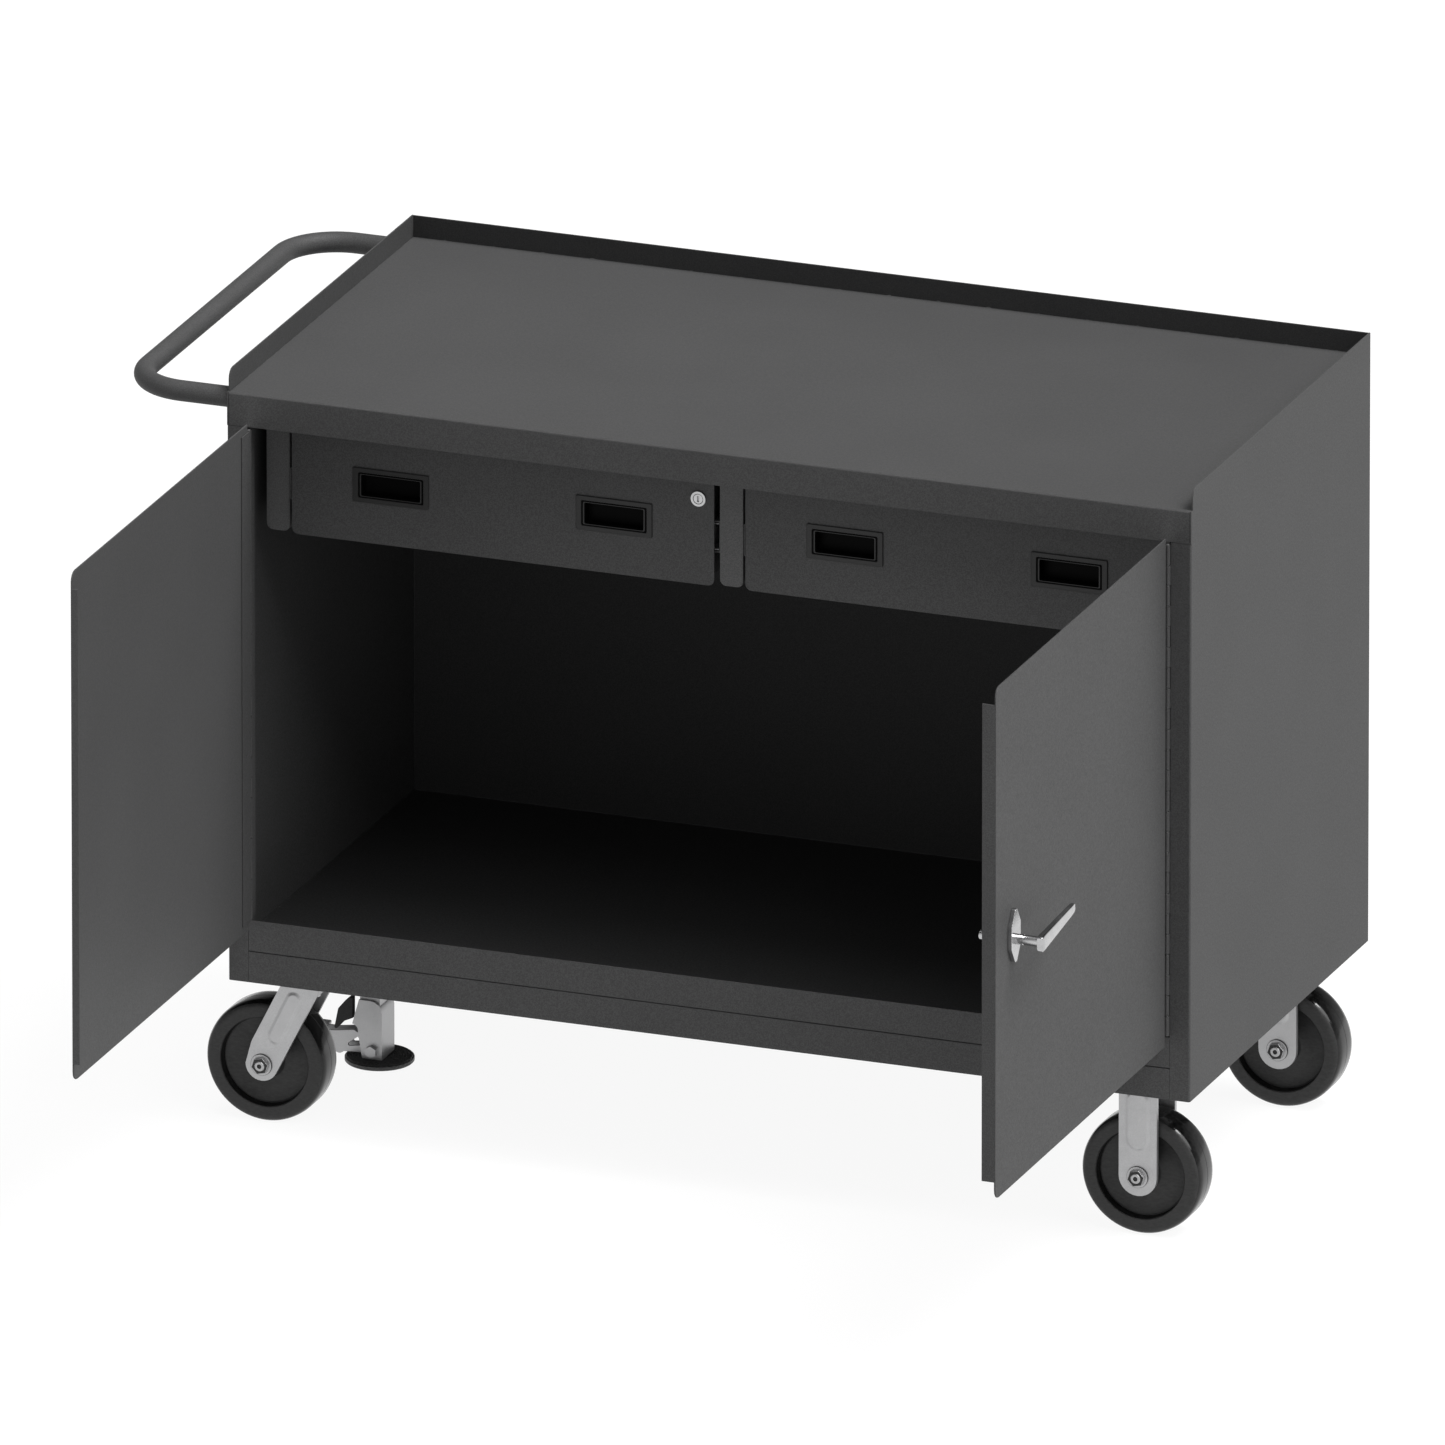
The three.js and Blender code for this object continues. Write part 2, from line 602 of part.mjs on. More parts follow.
function lockingRod(name, way, up) {
  const { x, tip, tail } = rodPlace(way, up);
  const from = doorInner + lockRod.start;
  const half = lockRod.width / 2;
  const body = cuboid([x - half, x + half], [from, from + lockRod.thick], [tail, tip]);
  return piece(name, body, finish.zinc);
}

/** A bridge on the door's inner face that a locking rod slides through. */
function rodBridge(name, way, up) {
  const { x, tip } = rodPlace(way, up);
  const middle = tip - up * rodGuide.inset;
  const low = middle - rodGuide.height / 2;
  const high = middle + rodGuide.height / 2;
  const slotHalf = lockRod.width / 2 + rodGuide.play;
  const from = doorInner + lockRod.start - rodGuide.play;
  const to = doorInner + lockRod.start + lockRod.thick + rodGuide.play;
  const half = rodGuide.width / 2;
  const body = cut(
    cuboid([x - half, x + half], [doorInner + touch, to + rodGuide.wall], [low, high]),
    cuboid([x - slotHalf, x + slotHalf], [from, to], [low - 1, high + 1]),
  );
  return piece(name, body, finish.zinc);
}

function rightDoorFittings() {
  const panel = doorPanel('right_door', -1, doorFlange.right);
  const spindleHole = rod(latch.bore, 'y', [-latchX, latchZ], doorInner - door.sheet - 1, doorInner + 1);
  return [
    piece('right_door', cut(panel, spindleHole), finish.paint),
    escutcheon(-1),
    leverHandle(-1),
    latchCam(-1),
    lockingRod('upper_lock_rod', -1, 1),
    lockingRod('lower_lock_rod', -1, -1),
    rodBridge('upper_rod_guide', -1, 1),
    rodBridge('lower_rod_guide', -1, -1),
  ];
}

/** A door, its hinge and its fittings round the hinge pin, with the door standing open. */
function doorSet(label, way, fittings) {
  const leaves = hingeParts(label, way);
  const swung = placed([...fittings, leaves.door], [0, 0, 0], -way * THREE.MathUtils.degToRad(door.open));
  return placed([leaves.frame, leaves.pin, swung], [-way * pinX, pinY, 0]);
}

// ---------------------------------------------------------------- casters

function casterWheel(name) {
  const face = wheel.width / 2;
  const half = [
    [axle.bore, wheel.hubHalf], [wheel.hub, wheel.hubHalf], [wheel.hub + 2, wheel.web],
    [wheel.recess - 3, wheel.web], [wheel.recess, face], [wheel.radius - treadCorner.start, face],
    [wheel.radius - treadCorner.middle, face - treadCorner.fall], [wheel.radius, wheel.flat / 2],
  ];
  const other = half.map(([r, y]) => [r, -y]).reverse();
  const segments = 24;
  const stretch = 1 / Math.cos(Math.PI / segments);
  const profile = [...half, ...other, half[0]].reverse();
  const points = profile.map(([r, y]) => new THREE.Vector2(r * stretch, y));
  const geometry = new THREE.LatheGeometry(points, segments, Math.PI / segments);
  const mesh = piece(name, solid(geometry), finish.black);
  mesh.position.z = wheel.radius;
  return mesh;
}

function axleBolt(name) {
  const outer = fork.inner + fork.thick + touch;
  const centre = [0, wheel.radius];
  const body = join(
    rod(axle.radius, 'y', centre, -outer - axle.nutThick, outer + axle.nutThick),
    rod(axle.nut, 'y', centre, -outer - axle.nutThick, -outer, 6),
    rod(axle.nut, 'y', centre, outer, outer + axle.nutThick, 6),
  );
  return piece(name, body, finish.zinc);
}

function forkLegs(shape, foot, footX) {
  const legs = [-1, 1].map((side) => {
    const faces = [side * fork.inner, side * (fork.inner + fork.thick)].sort((a, b) => a - b);
    return join(
      prism(shape, 'y', ...faces),
      rod(foot, 'y', [footX, wheel.radius], ...faces, 20),
    );
  });
  const bore = rod(axle.bore, 'y', [footX, wheel.radius], -fork.inner - 2 * fork.thick,
    fork.inner + 2 * fork.thick);
  return cut(join(...legs), bore);
}

const plateUnder = casterTop - caster.plate;
const upperRaceUnder = plateUnder - race.thick;
const crownTop = upperRaceUnder - touch - race.thick;
const crownUnder = crownTop - race.crown;

/** The plate that bolts a caster or the floor lock to its channel. */
function mountPlate() {
  return cuboid([-fork.plateX, fork.plateX], [-fork.plateY, fork.plateY], [plateUnder, casterTop]);
}

/** The bolted plate, upper race and kingpin that stay with the bench. */
function swivelPlate(name) {
  const centre = [0, 0];
  const headTop = crownUnder - touch;
  const headUnder = headTop - kingpin.headThick;
  const body = join(
    mountPlate(),
    rod(race.upper, 'z', centre, upperRaceUnder, plateUnder + 1, 24),
    rod(kingpin.radius, 'z', centre, headUnder, plateUnder + 1),
    rod(kingpin.head, 'z', centre, headUnder, headTop),
  );
  return piece(name, body, finish.zinc);
}

/** The trailing fork with its crown and lower race, round the swivel axis. */
function swivelFork(name) {
  const half = fork.width / 2;
  const footX = -caster.trail;
  const lean = Math.atan2(caster.trail, crownTop - wheel.radius);
  const leg = outline([
    [-half, crownTop], [half, crownTop],
    [footX + fork.foot * Math.cos(lean), wheel.radius - fork.foot * Math.sin(lean)],
    [footX - fork.foot, wheel.radius], [footX - knee.reach, wheel.radius + knee.rise],
  ]);
  const side = fork.inner + fork.thick;
  const body = join(
    forkLegs(leg, fork.foot, footX),
    cuboid([-half, half], [-side, side], [crownUnder, crownTop]),
    rod(race.lower, 'z', [0, 0], crownTop - 1, upperRaceUnder - touch, 24),
  );
  const bore = rod(kingpin.bore, 'z', [0, 0], crownUnder - 1, upperRaceUnder + 1);
  return piece(name, cut(body, bore), finish.zinc);
}

function rigidFork(name) {
  const half = fork.rigidFoot;
  const leg = rectangle([-half, half], [wheel.radius, plateUnder + 1]);
  return piece(name, join(forkLegs(leg, fork.rigidFoot, 0), mountPlate()), finish.zinc);
}

function swivelCaster(label, y) {
  const rolling = placed([casterWheel(`${label}_swivel_wheel`), axleBolt(`${label}_swivel_axle`)],
    [-caster.trail, 0, 0]);
  const parts = [swivelPlate(`${label}_swivel_plate`), swivelFork(`${label}_swivel_fork`), rolling];
  return placed(parts, [-casterX, y, 0]);
}

function rigidCaster(label, y) {
  const parts = [
    rigidFork(`${label}_rigid_fork`),
    casterWheel(`${label}_rigid_wheel`),
    axleBolt(`${label}_rigid_axle`),
  ];
  return placed(parts, [casterX, y, 0]);
}

// ---------------------------------------------------------------- floor lock

/** The bolted plate and the inner channel that guides the clevis. */
function lockHousing() {
  const half = clevis.half - clevis.sheet - clevis.play;
  const front = clevis.front - clevis.sheet - clevis.play;
  const inner = half - clevis.sheet;
  const tube = cuboid([-clevis.back, front], [-half, half], [floorLock.guideFrom, plateUnder + 1]);
  const open = cuboid([-clevis.back - 1, front - clevis.sheet], [-inner, inner],
    [floorLock.guideFrom - 1, plateUnder]);
  return piece('floor_lock_housing', join(cut(tube, open), mountPlate()), finish.zinc);
}

/** The clevis that slides on the housing, with its foot and the pedal's pivot bolt. */
function lockClevis() {
  const { front, back, half, sheet } = clevis;
  const foot = floorLock.padThick + touch;
  const flank = outline([
    [-back + flare.setback, foot], [front, foot], [front, clevis.top, clevis.corner],
    [-back, clevis.top], [-back - flare.reach, flare.rise, flare.corner],
    [-back - flare.reach + 1, notch.rise], [-back, notch.rise - notch.radius],
  ]);
  const inside = half - sheet;
  const channelBody = cut(
    prism(flank, 'y', -half, half),
    cuboid([-back - flare.reach - 1, front - sheet], [-inside, inside],
      [foot + floorLock.base, clevis.top + 1]),
    rod(notch.radius, 'y', [-back - notch.reach, notch.rise], -half - 1, half + 1),
  );
  const centre = [pivot.x, pivot.rise];
  const end = half + pivot.head;
  const bolt = join(
    rod(pivot.bolt, 'y', centre, -end, end),
    rod(pedal.hub, 'y', centre, -end, -half + 1, 6),
    rod(pedal.hub, 'y', centre, half - 1, end, 6),
  );
  return piece('floor_lock_clevis', join(channelBody, bolt), finish.zinc);
}

function lockPad() {
  return piece('floor_lock_pad', rod(floorLock.pad, 'z', [0, 0], 0, floorLock.padThick, 28), finish.rubber);
}

function lockPedal() {
  const { hub, half, reach, rise, belly } = pedal;
  const arm = outline([
    [pivot.x, pivot.rise - hub], [pivot.x, pivot.rise + hub], [-belly, rise - tread.thick],
    [-reach, rise], [-reach, rise - tread.thick * 2], [-belly, pivot.rise - hub],
  ]);
  const centre = [pivot.x, pivot.rise];
  const body = join(
    rod(hub, 'y', centre, -half, half),
    prism(arm, 'y', -half, half),
    cuboid([-reach, -reach + tread.length], [-tread.half, tread.half], [rise - tread.thick, rise]),
  );
  const bore = rod(pivot.bore, 'y', centre, -half - 1, half + 1);
  return piece('floor_lock_pedal', cut(body, bore), finish.zinc);
}

// ---------------------------------------------------------------- assembly

const sideHangerX = bayOuter + hanger.width / 2;
const lockX = bayHalf - drawer.gap - lock.inset;
const assembly = new THREE.Group();
assembly.add(
  worktop(),
  sidePanel('left_side_panel', -1),
  sidePanel('right_side_panel', 1),
  backPanel(),
  floorPan(),
  doorSill(),
  casterChannel('left_caster_channel', -1),
  casterChannel('right_caster_channel', 1),
  pushHandle(),
  drawerHanger('left_drawer_hanger', -sideHangerX, [1]),
  drawerHanger('centre_drawer_hanger', 0, [-1, 1]),
  drawerHanger('right_drawer_hanger', sideHangerX, [-1]),
  lockStrike(),
  drawerSet('left', -1, lockX),
  drawerSet('right', 1, 0),
  doorSet('left', 1, [piece('left_door', doorPanel('left_door', 1, doorFlange.left), finish.paint)]),
  doorSet('right', -1, rightDoorFittings()),
  swivelCaster('front', -casterY),
  swivelCaster('rear', casterY),
  rigidCaster('front', -casterY),
  rigidCaster('rear', casterY),
  placed([lockHousing(), lockClevis(), lockPad(), lockPedal()], [-casterX, floorLock.offsetY, 0]),
);

// The origin is the middle of the standing footprint, at floor level.
assembly.updateMatrixWorld(true);
const extent = new THREE.Box3().setFromObject(assembly);
const middle = extent.getCenter(new THREE.Vector3());
assembly.position.set(-middle.x, -middle.y, -extent.min.z);
const workbench = new THREE.Group();
workbench.add(assembly);

export default workbench;
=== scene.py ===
# %% [markdown]
# # A steel workbench on casters, with two drawers and two doors
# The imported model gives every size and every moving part. This lesson dresses it: folded sheet steel
# with softened edges, powder coat, zinc-plated casters, chromed handle and lock, black plastic pulls.
# Lengths are written in millimetres in the bench's own frame and turned into metres when a mesh is made.

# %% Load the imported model
import json
import math
import bmesh
import bpy
from mathutils import Matrix, Vector

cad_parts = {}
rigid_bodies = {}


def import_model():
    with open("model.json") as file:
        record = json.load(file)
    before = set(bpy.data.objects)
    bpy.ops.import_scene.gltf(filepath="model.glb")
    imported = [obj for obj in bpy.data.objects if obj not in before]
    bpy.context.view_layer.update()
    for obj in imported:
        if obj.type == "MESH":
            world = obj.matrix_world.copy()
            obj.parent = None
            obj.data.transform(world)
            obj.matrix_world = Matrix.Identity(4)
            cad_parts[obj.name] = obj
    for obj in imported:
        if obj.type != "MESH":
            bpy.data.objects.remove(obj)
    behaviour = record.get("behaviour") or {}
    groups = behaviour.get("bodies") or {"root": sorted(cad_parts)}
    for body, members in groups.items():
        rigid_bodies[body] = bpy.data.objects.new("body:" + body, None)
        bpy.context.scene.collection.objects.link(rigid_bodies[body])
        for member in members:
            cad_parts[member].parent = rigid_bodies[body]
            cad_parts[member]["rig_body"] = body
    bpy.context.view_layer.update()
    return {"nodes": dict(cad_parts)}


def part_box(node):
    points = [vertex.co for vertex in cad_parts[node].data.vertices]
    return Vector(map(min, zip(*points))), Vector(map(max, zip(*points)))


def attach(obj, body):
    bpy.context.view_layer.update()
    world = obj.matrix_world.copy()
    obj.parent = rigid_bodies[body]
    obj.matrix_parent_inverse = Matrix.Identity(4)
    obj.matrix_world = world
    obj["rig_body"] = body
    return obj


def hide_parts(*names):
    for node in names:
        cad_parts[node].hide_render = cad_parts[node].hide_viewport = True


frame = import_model()
for node in frame["nodes"].values():
    node.data.materials.clear()
for plain in list(bpy.data.materials):
    bpy.data.materials.remove(plain)

# %% [markdown]
# ## Camera
# The bench is seen from its front right, a little from above. A very long lens far away keeps parallel
# edges parallel, as in a catalogue view, and stays a perspective camera that other views can reuse.

# %% Camera
MM = 0.001
VIEW_TURN, VIEW_RISE = math.radians(20.79), math.radians(19.384)
LOOK_AT = Vector((-0.0190, 0.2586, 0.4916))
FRAME_WIDTH, LENS, SENSOR = 1.7215, 1500, 36
distance = FRAME_WIDTH * LENS / SENSOR
toward_camera = Vector((
    math.sin(VIEW_TURN) * math.cos(VIEW_RISE),
    -math.cos(VIEW_TURN) * math.cos(VIEW_RISE),
    math.sin(VIEW_RISE),
))
camera = bpy.data.objects.new("camera", bpy.data.cameras.new("camera"))
bpy.context.scene.collection.objects.link(camera)
camera.location = LOOK_AT + toward_camera * distance
camera.rotation_euler = toward_camera.to_track_quat("Z", "Y").to_euler()
camera.data.lens, camera.data.sensor_width = LENS, SENSOR
camera.data.clip_start, camera.data.clip_end = 1, 200
bpy.context.scene.camera = camera
print("camera", round(distance, 1), "m away")

# %% [markdown]
# ## Floor and light
# A pale floor that glows a little stands in for a lit studio sweep: it fills the front faces from below
# and keeps the surroundings near white. Three broad lamps high on the right give the top and the right side
# their light, a weak one fills the front, and a dark sky keeps the inside of the cabinet dark.

# %% Floor
def pale_floor(half=90):
    mesh = bpy.data.meshes.new("studio_floor")
    corners = [(-half, -half, 0), (half, -half, 0), (half, half, 0), (-half, half, 0)]
    mesh.from_pydata(corners, [], [(0, 1, 2, 3)])
    floor = bpy.data.objects.new("studio_floor", mesh)
    bpy.context.scene.collection.objects.link(floor)
    material = bpy.data.materials.new("pale_floor")
    material.use_nodes = True
    shader = material.node_tree.nodes["Principled BSDF"]
    shader.inputs["Base Color"].default_value = (0.08, 0.08, 0.08, 1)
    shader.inputs["Roughness"].default_value = 0.9
    shader.inputs["Specular IOR Level"].default_value = 0.1
    shader.inputs["Emission Color"].default_value = (1, 1, 1, 1)
    shader.inputs["Emission Strength"].default_value = 0.92
    mesh.materials.append(material)
    return floor


pale_floor()

# %% Lamp
def broad_lamp(name, turn, rise, strength, spread):
    """A distant lamp: `turn` is measured from the right side towards the front, in degrees."""
    light = bpy.data.lights.new(name, "SUN")
    light.energy, light.angle = strength, math.radians(spread)
    lamp = bpy.data.objects.new(name, light)
    bpy.context.scene.collection.objects.link(lamp)
    a, b = math.radians(turn), math.radians(rise)
    towards = Vector((math.cos(a) * math.cos(b), -math.sin(a) * math.cos(b), math.sin(b)))
    lamp.rotation_euler = towards.to_track_quat("Z", "Y").to_euler()
    return lamp


broad_lamp("key_lamp", turn=-5, rise=62, strength=2.3, spread=25)
broad_lamp("high_lamp", turn=-5, rise=80, strength=2.2, spread=50)
broad_lamp("side_lamp", turn=12, rise=50, strength=2.4, spread=50)
broad_lamp("front_lamp", turn=80, rise=22, strength=0.75, spread=80)

# %% Sky
def studio_sky():
    """Nearly black overhead and grey at the horizon, where the studio's walls would be."""
    world = bpy.data.worlds.new("studio_sky")
    world.use_nodes = True
    bpy.context.scene.world = world
    nodes, links = world.node_tree.nodes, world.node_tree.links
    place = nodes.new("ShaderNodeTexCoord")
    parts = nodes.new("ShaderNodeSeparateXYZ")
    ramp = nodes.new("ShaderNodeValToRGB")
    ramp.color_ramp.elements[0].position = 0.0
    ramp.color_ramp.elements[0].color = (0.54, 0.54, 0.54, 1)
    ramp.color_ramp.elements[1].position = 0.5
    ramp.color_ramp.elements[1].color = (0.01, 0.01, 0.01, 1)
    links.new(place.outputs["Generated"], parts.inputs[0])
    links.new(parts.outputs["Z"], ramp.inputs["Fac"])
    links.new(ramp.outputs["Color"], nodes["Background"].inputs["Color"])
    nodes["Background"].inputs["Strength"].default_value = 1.0
    return world


studio_sky()
bpy.context.scene.view_settings.view_transform = "Standard"
print("floor, lamp and sky are set")

# %% [markdown]
# ## Finishes
# Each finish is a small node tree on Object coordinates, so that grain has a real size in millimetres.
# Two helpers do most of the work: `mottle` varies a colour between two shades, and `relief` raises
# and sinks the surface by a fraction of a millimetre.

# %% Helpers for finishes
def start_finish(name, roughness, metallic=0.0, specular=0.5):
    material = bpy.data.materials.new(name)
    material.use_nodes = True
    tree = material.node_tree
    shader = tree.nodes["Principled BSDF"]
    shader.inputs["Roughness"].default_value = roughness
    shader.inputs["Metallic"].default_value = metallic
    shader.inputs["Specular IOR Level"].default_value = specular
    place = tree.nodes.new("ShaderNodeTexCoord")
    return material, tree, shader, place.outputs["Object"]


def noise(tree, place, size_mm, detail=2.0, stretch=(1, 1, 1)):
    """Soft noise whose lumps are about size_mm across, drawn out along an axis by `stretch`."""
    mapping = tree.nodes.new("ShaderNodeMapping")
    mapping.inputs["Scale"].default_value = [1 / s for s in stretch]
    texture = tree.nodes.new("ShaderNodeTexNoise")
    texture.inputs["Scale"].default_value = 1 / (size_mm * MM)
    texture.inputs["Detail"].default_value = detail
    tree.links.new(place, mapping.inputs["Vector"])
    tree.links.new(mapping.outputs["Vector"], texture.inputs["Vector"])
    return texture.outputs["Fac"]


def mottle(tree, value, dark, light, low=0.35, high=0.65):
    ramp = tree.nodes.new("ShaderNodeValToRGB")
    ramp.color_ramp.elements[0].position, ramp.color_ramp.elements[1].position = low, high
    ramp.color_ramp.elements[0].color, ramp.color_ramp.elements[1].color = (*dark, 1), (*light, 1)
    tree.links.new(value, ramp.inputs["Fac"])
    return ramp.outputs["Color"]


def blended(tree, first, second, share, kind="MULTIPLY"):
    mix = tree.nodes.new("ShaderNodeMix")
    mix.data_type, mix.blend_type = "RGBA", kind
    mix.inputs[0].default_value = share
    tree.links.new(first, mix.inputs[6])
    tree.links.new(second, mix.inputs[7])
    return mix.outputs[2]


def relief(tree, shader, heights, depth_mm):
    """Bump from one or more (value, share) pairs."""
    normal = None
    for value, share in heights:
        bump = tree.nodes.new("ShaderNodeBump")
        bump.inputs["Distance"].default_value = depth_mm * MM
        bump.inputs["Strength"].default_value = share
        tree.links.new(value, bump.inputs["Height"])
        if normal is not None:
            tree.links.new(normal, bump.inputs["Normal"])
        normal = bump.outputs["Normal"]
    tree.links.new(normal, shader.inputs["Normal"])


def varied_roughness(tree, shader, value, low, high):
    spread = tree.nodes.new("ShaderNodeMapRange")
    spread.inputs["From Min"].default_value, spread.inputs["From Max"].default_value = 0.3, 0.7
    spread.inputs["To Min"].default_value, spread.inputs["To Max"].default_value = low, high
    tree.links.new(value, spread.inputs["Value"])
    tree.links.new(spread.outputs["Result"], shader.inputs["Roughness"])


# %% [markdown]
# The bench is powder coated in a charcoal grey. Baked powder is never quite smooth: it dries to a fine
# "orange peel" a millimetre or two across, with specks of lighter and darker pigment. The inside and the
# parts under the bench take a darker copy of the powder, as painted shade; the drawers, the left door and
# the hangers take lighter copies, as painted light.

# %% Powder coat
def powder_coat(name, grey, speck):
    material, tree, shader, place = start_finish(name, 0.58, specular=0.15)
    fine = noise(tree, place, 1.3, detail=3)
    broad = noise(tree, place, 140, detail=2)
    dark = [c * (1 - speck) for c in grey]
    light = [c * (1 + speck) for c in grey]
    pigment = mottle(tree, fine, dark, light, 0.38, 0.62)
    cloud = mottle(tree, broad, (0.94, 0.94, 0.94), (1, 1, 1), 0.3, 0.7)
    tree.links.new(blended(tree, pigment, cloud, 1.0), shader.inputs["Base Color"])
    peel = noise(tree, place, 2.4, detail=2)
    relief(tree, shader, [(peel, 0.35), (fine, 0.25)], 0.12)
    varied_roughness(tree, shader, peel, 0.5, 0.64)
    return material


# The hanger and drawer coats are the shell powder made lighter, as painted light; the inner coat is it made
# darker, as painted shade, and the release tab wears it as its own dark paint.
shell_paint = powder_coat("shell_paint", (0.048, 0.048, 0.0484), 0.2)
hanger_painted_light = powder_coat("hanger_painted_light", (0.08, 0.08, 0.0804), 0.2)
inner_paint = powder_coat("inner_paint", (0.027, 0.027, 0.0274), 0.2)
drawer_painted_light = powder_coat("drawer_painted_light", (0.054, 0.054, 0.0544), 0.2)

# %% [markdown]
# Zinc plating is bright but dull: a metal with a cloudy, slightly blue surface whose gloss changes from
# place to place. Chrome is the same idea polished, with only faint smears left.

# %% Metals
def zinc_plating():
    material, tree, shader, place = start_finish("zinc_plate", 0.4, metallic=0.85)
    cloud = noise(tree, place, 22, detail=3)
    grain = noise(tree, place, 0.8, detail=3)
    tone = mottle(tree, cloud, (0.39, 0.39, 0.395), (0.46, 0.46, 0.465), 0.3, 0.7)
    specks = mottle(tree, grain, (0.88, 0.88, 0.88), (1, 1, 1), 0.35, 0.6)
    tree.links.new(blended(tree, tone, specks, 1.0), shader.inputs["Base Color"])
    varied_roughness(tree, shader, cloud, 0.34, 0.5)
    relief(tree, shader, [(grain, 0.3)], 0.05)
    return material


def chrome_plating():
    material, tree, shader, place = start_finish("bright_chrome", 0.14, metallic=1.0)
    smear = noise(tree, place, 14, detail=4, stretch=(3, 1, 1))
    tone = mottle(tree, smear, (0.42, 0.42, 0.425), (0.52, 0.52, 0.525), 0.3, 0.7)
    tree.links.new(tone, shader.inputs["Base Color"])
    varied_roughness(tree, shader, smear, 0.17, 0.27)
    return material


zinc_plate, bright_chrome = zinc_plating(), chrome_plating()

# %% [markdown]
# The drawer pulls are moulded black plastic with a faint spark-eroded grain; their pockets take a near-black
# copy, as painted shade. The wheels are pressed phenolic resin, which is cloth and resin baked hard: nearly
# black where it is polished by the mould and slightly grey on its faces. The floor lock stands on a rough
# black rubber pad.

# %% Plastics and rubber
def moulded_black(name, dark, light, specular):
    material, tree, shader, place = start_finish(name, 0.4, specular=specular)
    grain = noise(tree, place, 0.7, detail=3)
    tone = mottle(tree, grain, (dark,) * 3, (light,) * 3)
    tree.links.new(tone, shader.inputs["Base Color"])
    relief(tree, shader, [(grain, 0.3)], 0.04)
    varied_roughness(tree, shader, grain, 0.28, 0.42)
    return material


def pressed_phenolic():
    material, tree, shader, place = start_finish("phenolic", 0.46, specular=0.3)
    fibre = noise(tree, place, 2.2, detail=5, stretch=(2.5, 1, 1))
    flow = noise(tree, place, 16, detail=3)
    tone = mottle(tree, fibre, (0.014, 0.014, 0.014), (0.027, 0.027, 0.027), 0.32, 0.68)
    haze = mottle(tree, flow, (0.8, 0.8, 0.8), (1, 1, 1), 0.3, 0.7)
    tree.links.new(blended(tree, tone, haze, 1.0), shader.inputs["Base Color"])
    relief(tree, shader, [(fibre, 0.25)], 0.06)
    varied_roughness(tree, shader, flow, 0.38, 0.54)
    return material


def rough_rubber():
    material, tree, shader, place = start_finish("pad_rubber", 0.42, specular=0.6)
    crumb = noise(tree, place, 2.6, detail=5)
    tone = mottle(tree, crumb, (0.006, 0.006, 0.006), (0.02, 0.02, 0.02))
    tree.links.new(tone, shader.inputs["Base Color"])
    relief(tree, shader, [(crumb, 1.0)], 2.2)
    return material


pull_black = moulded_black("pull_black", 0.02, 0.03, 0.2)
# The pocket finish is a near-black copy of the pull finish with little reflection: painted shade for the
# pocket and the groove round it.
pull_pocket_shade = moulded_black("pull_pocket_shade", 0.002, 0.004, 0.02)
phenolic, pad_rubber = pressed_phenolic(), rough_rubber()
print("finishes", len(bpy.data.materials))

# %% [markdown]
# ## Tools for shaping
# An outline is a list of corners, each with an optional radius. A slab is an outline given thickness, a
# turned form is a profile spun round an axis, and a loft joins rings of equal count. All work in
# millimetres on one bmesh, and `finish_piece` makes the object.

# %% Outlines
def outline(corners, steps=6):
    """Points of a closed shape; a corner (a, b, r) is rounded with radius r."""
    count, points = len(corners), []
    for i, corner in enumerate(corners):
        here = Vector(corner[:2])
        if len(corner) == 2:
            points.append(here)
            continue
        before = (Vector(corners[i - 1][:2]) - here).normalized()
        after = (Vector(corners[(i + 1) % count][:2]) - here).normalized()
        half = before.angle(after) / 2
        centre = here + (before + after).normalized() * corner[2] / math.sin(half)
        start = here + before * corner[2] / math.tan(half) - centre
        sweep = math.pi - 2 * half
        turn = -1 if start.cross(here - centre) < 0 else 1
        for k in range(steps + 1):
            angle = turn * sweep * k / steps
            points.append(centre + Matrix.Rotation(angle, 2) @ start)
    return points


def rectangle(low, high, radius=0):
    corners = [(low[0], low[1]), (high[0], low[1]), (high[0], high[1]), (low[0], high[1])]
    return outline([(*c, radius) for c in corners] if radius else corners)


# %% Solids
PLACE = {
    "x": lambda a, b, c: (c, a, b),
    "y": lambda a, b, c: (a, c, b),
    "z": lambda a, b, c: (a, b, c),
}


def loft(bm, rings, closed_ends=True):
    """Joins rings of points, each ring a list of (x, y, z), with faces, and caps the two ends."""
    made = [[bm.verts.new(p) for p in ring] for ring in rings]
    count = len(made[0])
    for one, two in zip(made, made[1:]):
        for i in range(count):
            j = (i + 1) % count
            bm.faces.new((one[i], one[j], two[j], two[i]))
    if closed_ends:
        bm.faces.new(list(reversed(made[0])))
        bm.faces.new(made[-1])
    return made


def slab(bm, points, axis, low, high):
    """An outline across an axis, given thickness along it."""
    return loft(bm, [[PLACE[axis](p[0], p[1], level) for p in points] for level in (low, high)])


def block(bm, low, high):
    return slab(bm, rectangle(low[:2], high[:2]), "z", low[2], high[2])


def turned(bm, profile, axis, centre, segments=64):
    """A (radius, along) profile spun round an axis through `centre`; radius 0 closes a pole."""
    a, b = centre
    rings = []
    for radius, along in profile:
        around = [2 * math.pi * k / segments for k in range(segments)]
        rings.append([PLACE[axis](a + radius * math.cos(t), b + radius * math.sin(t), along) for t in around])
    made = loft(bm, rings, closed_ends=profile[0] != profile[-1])
    return made


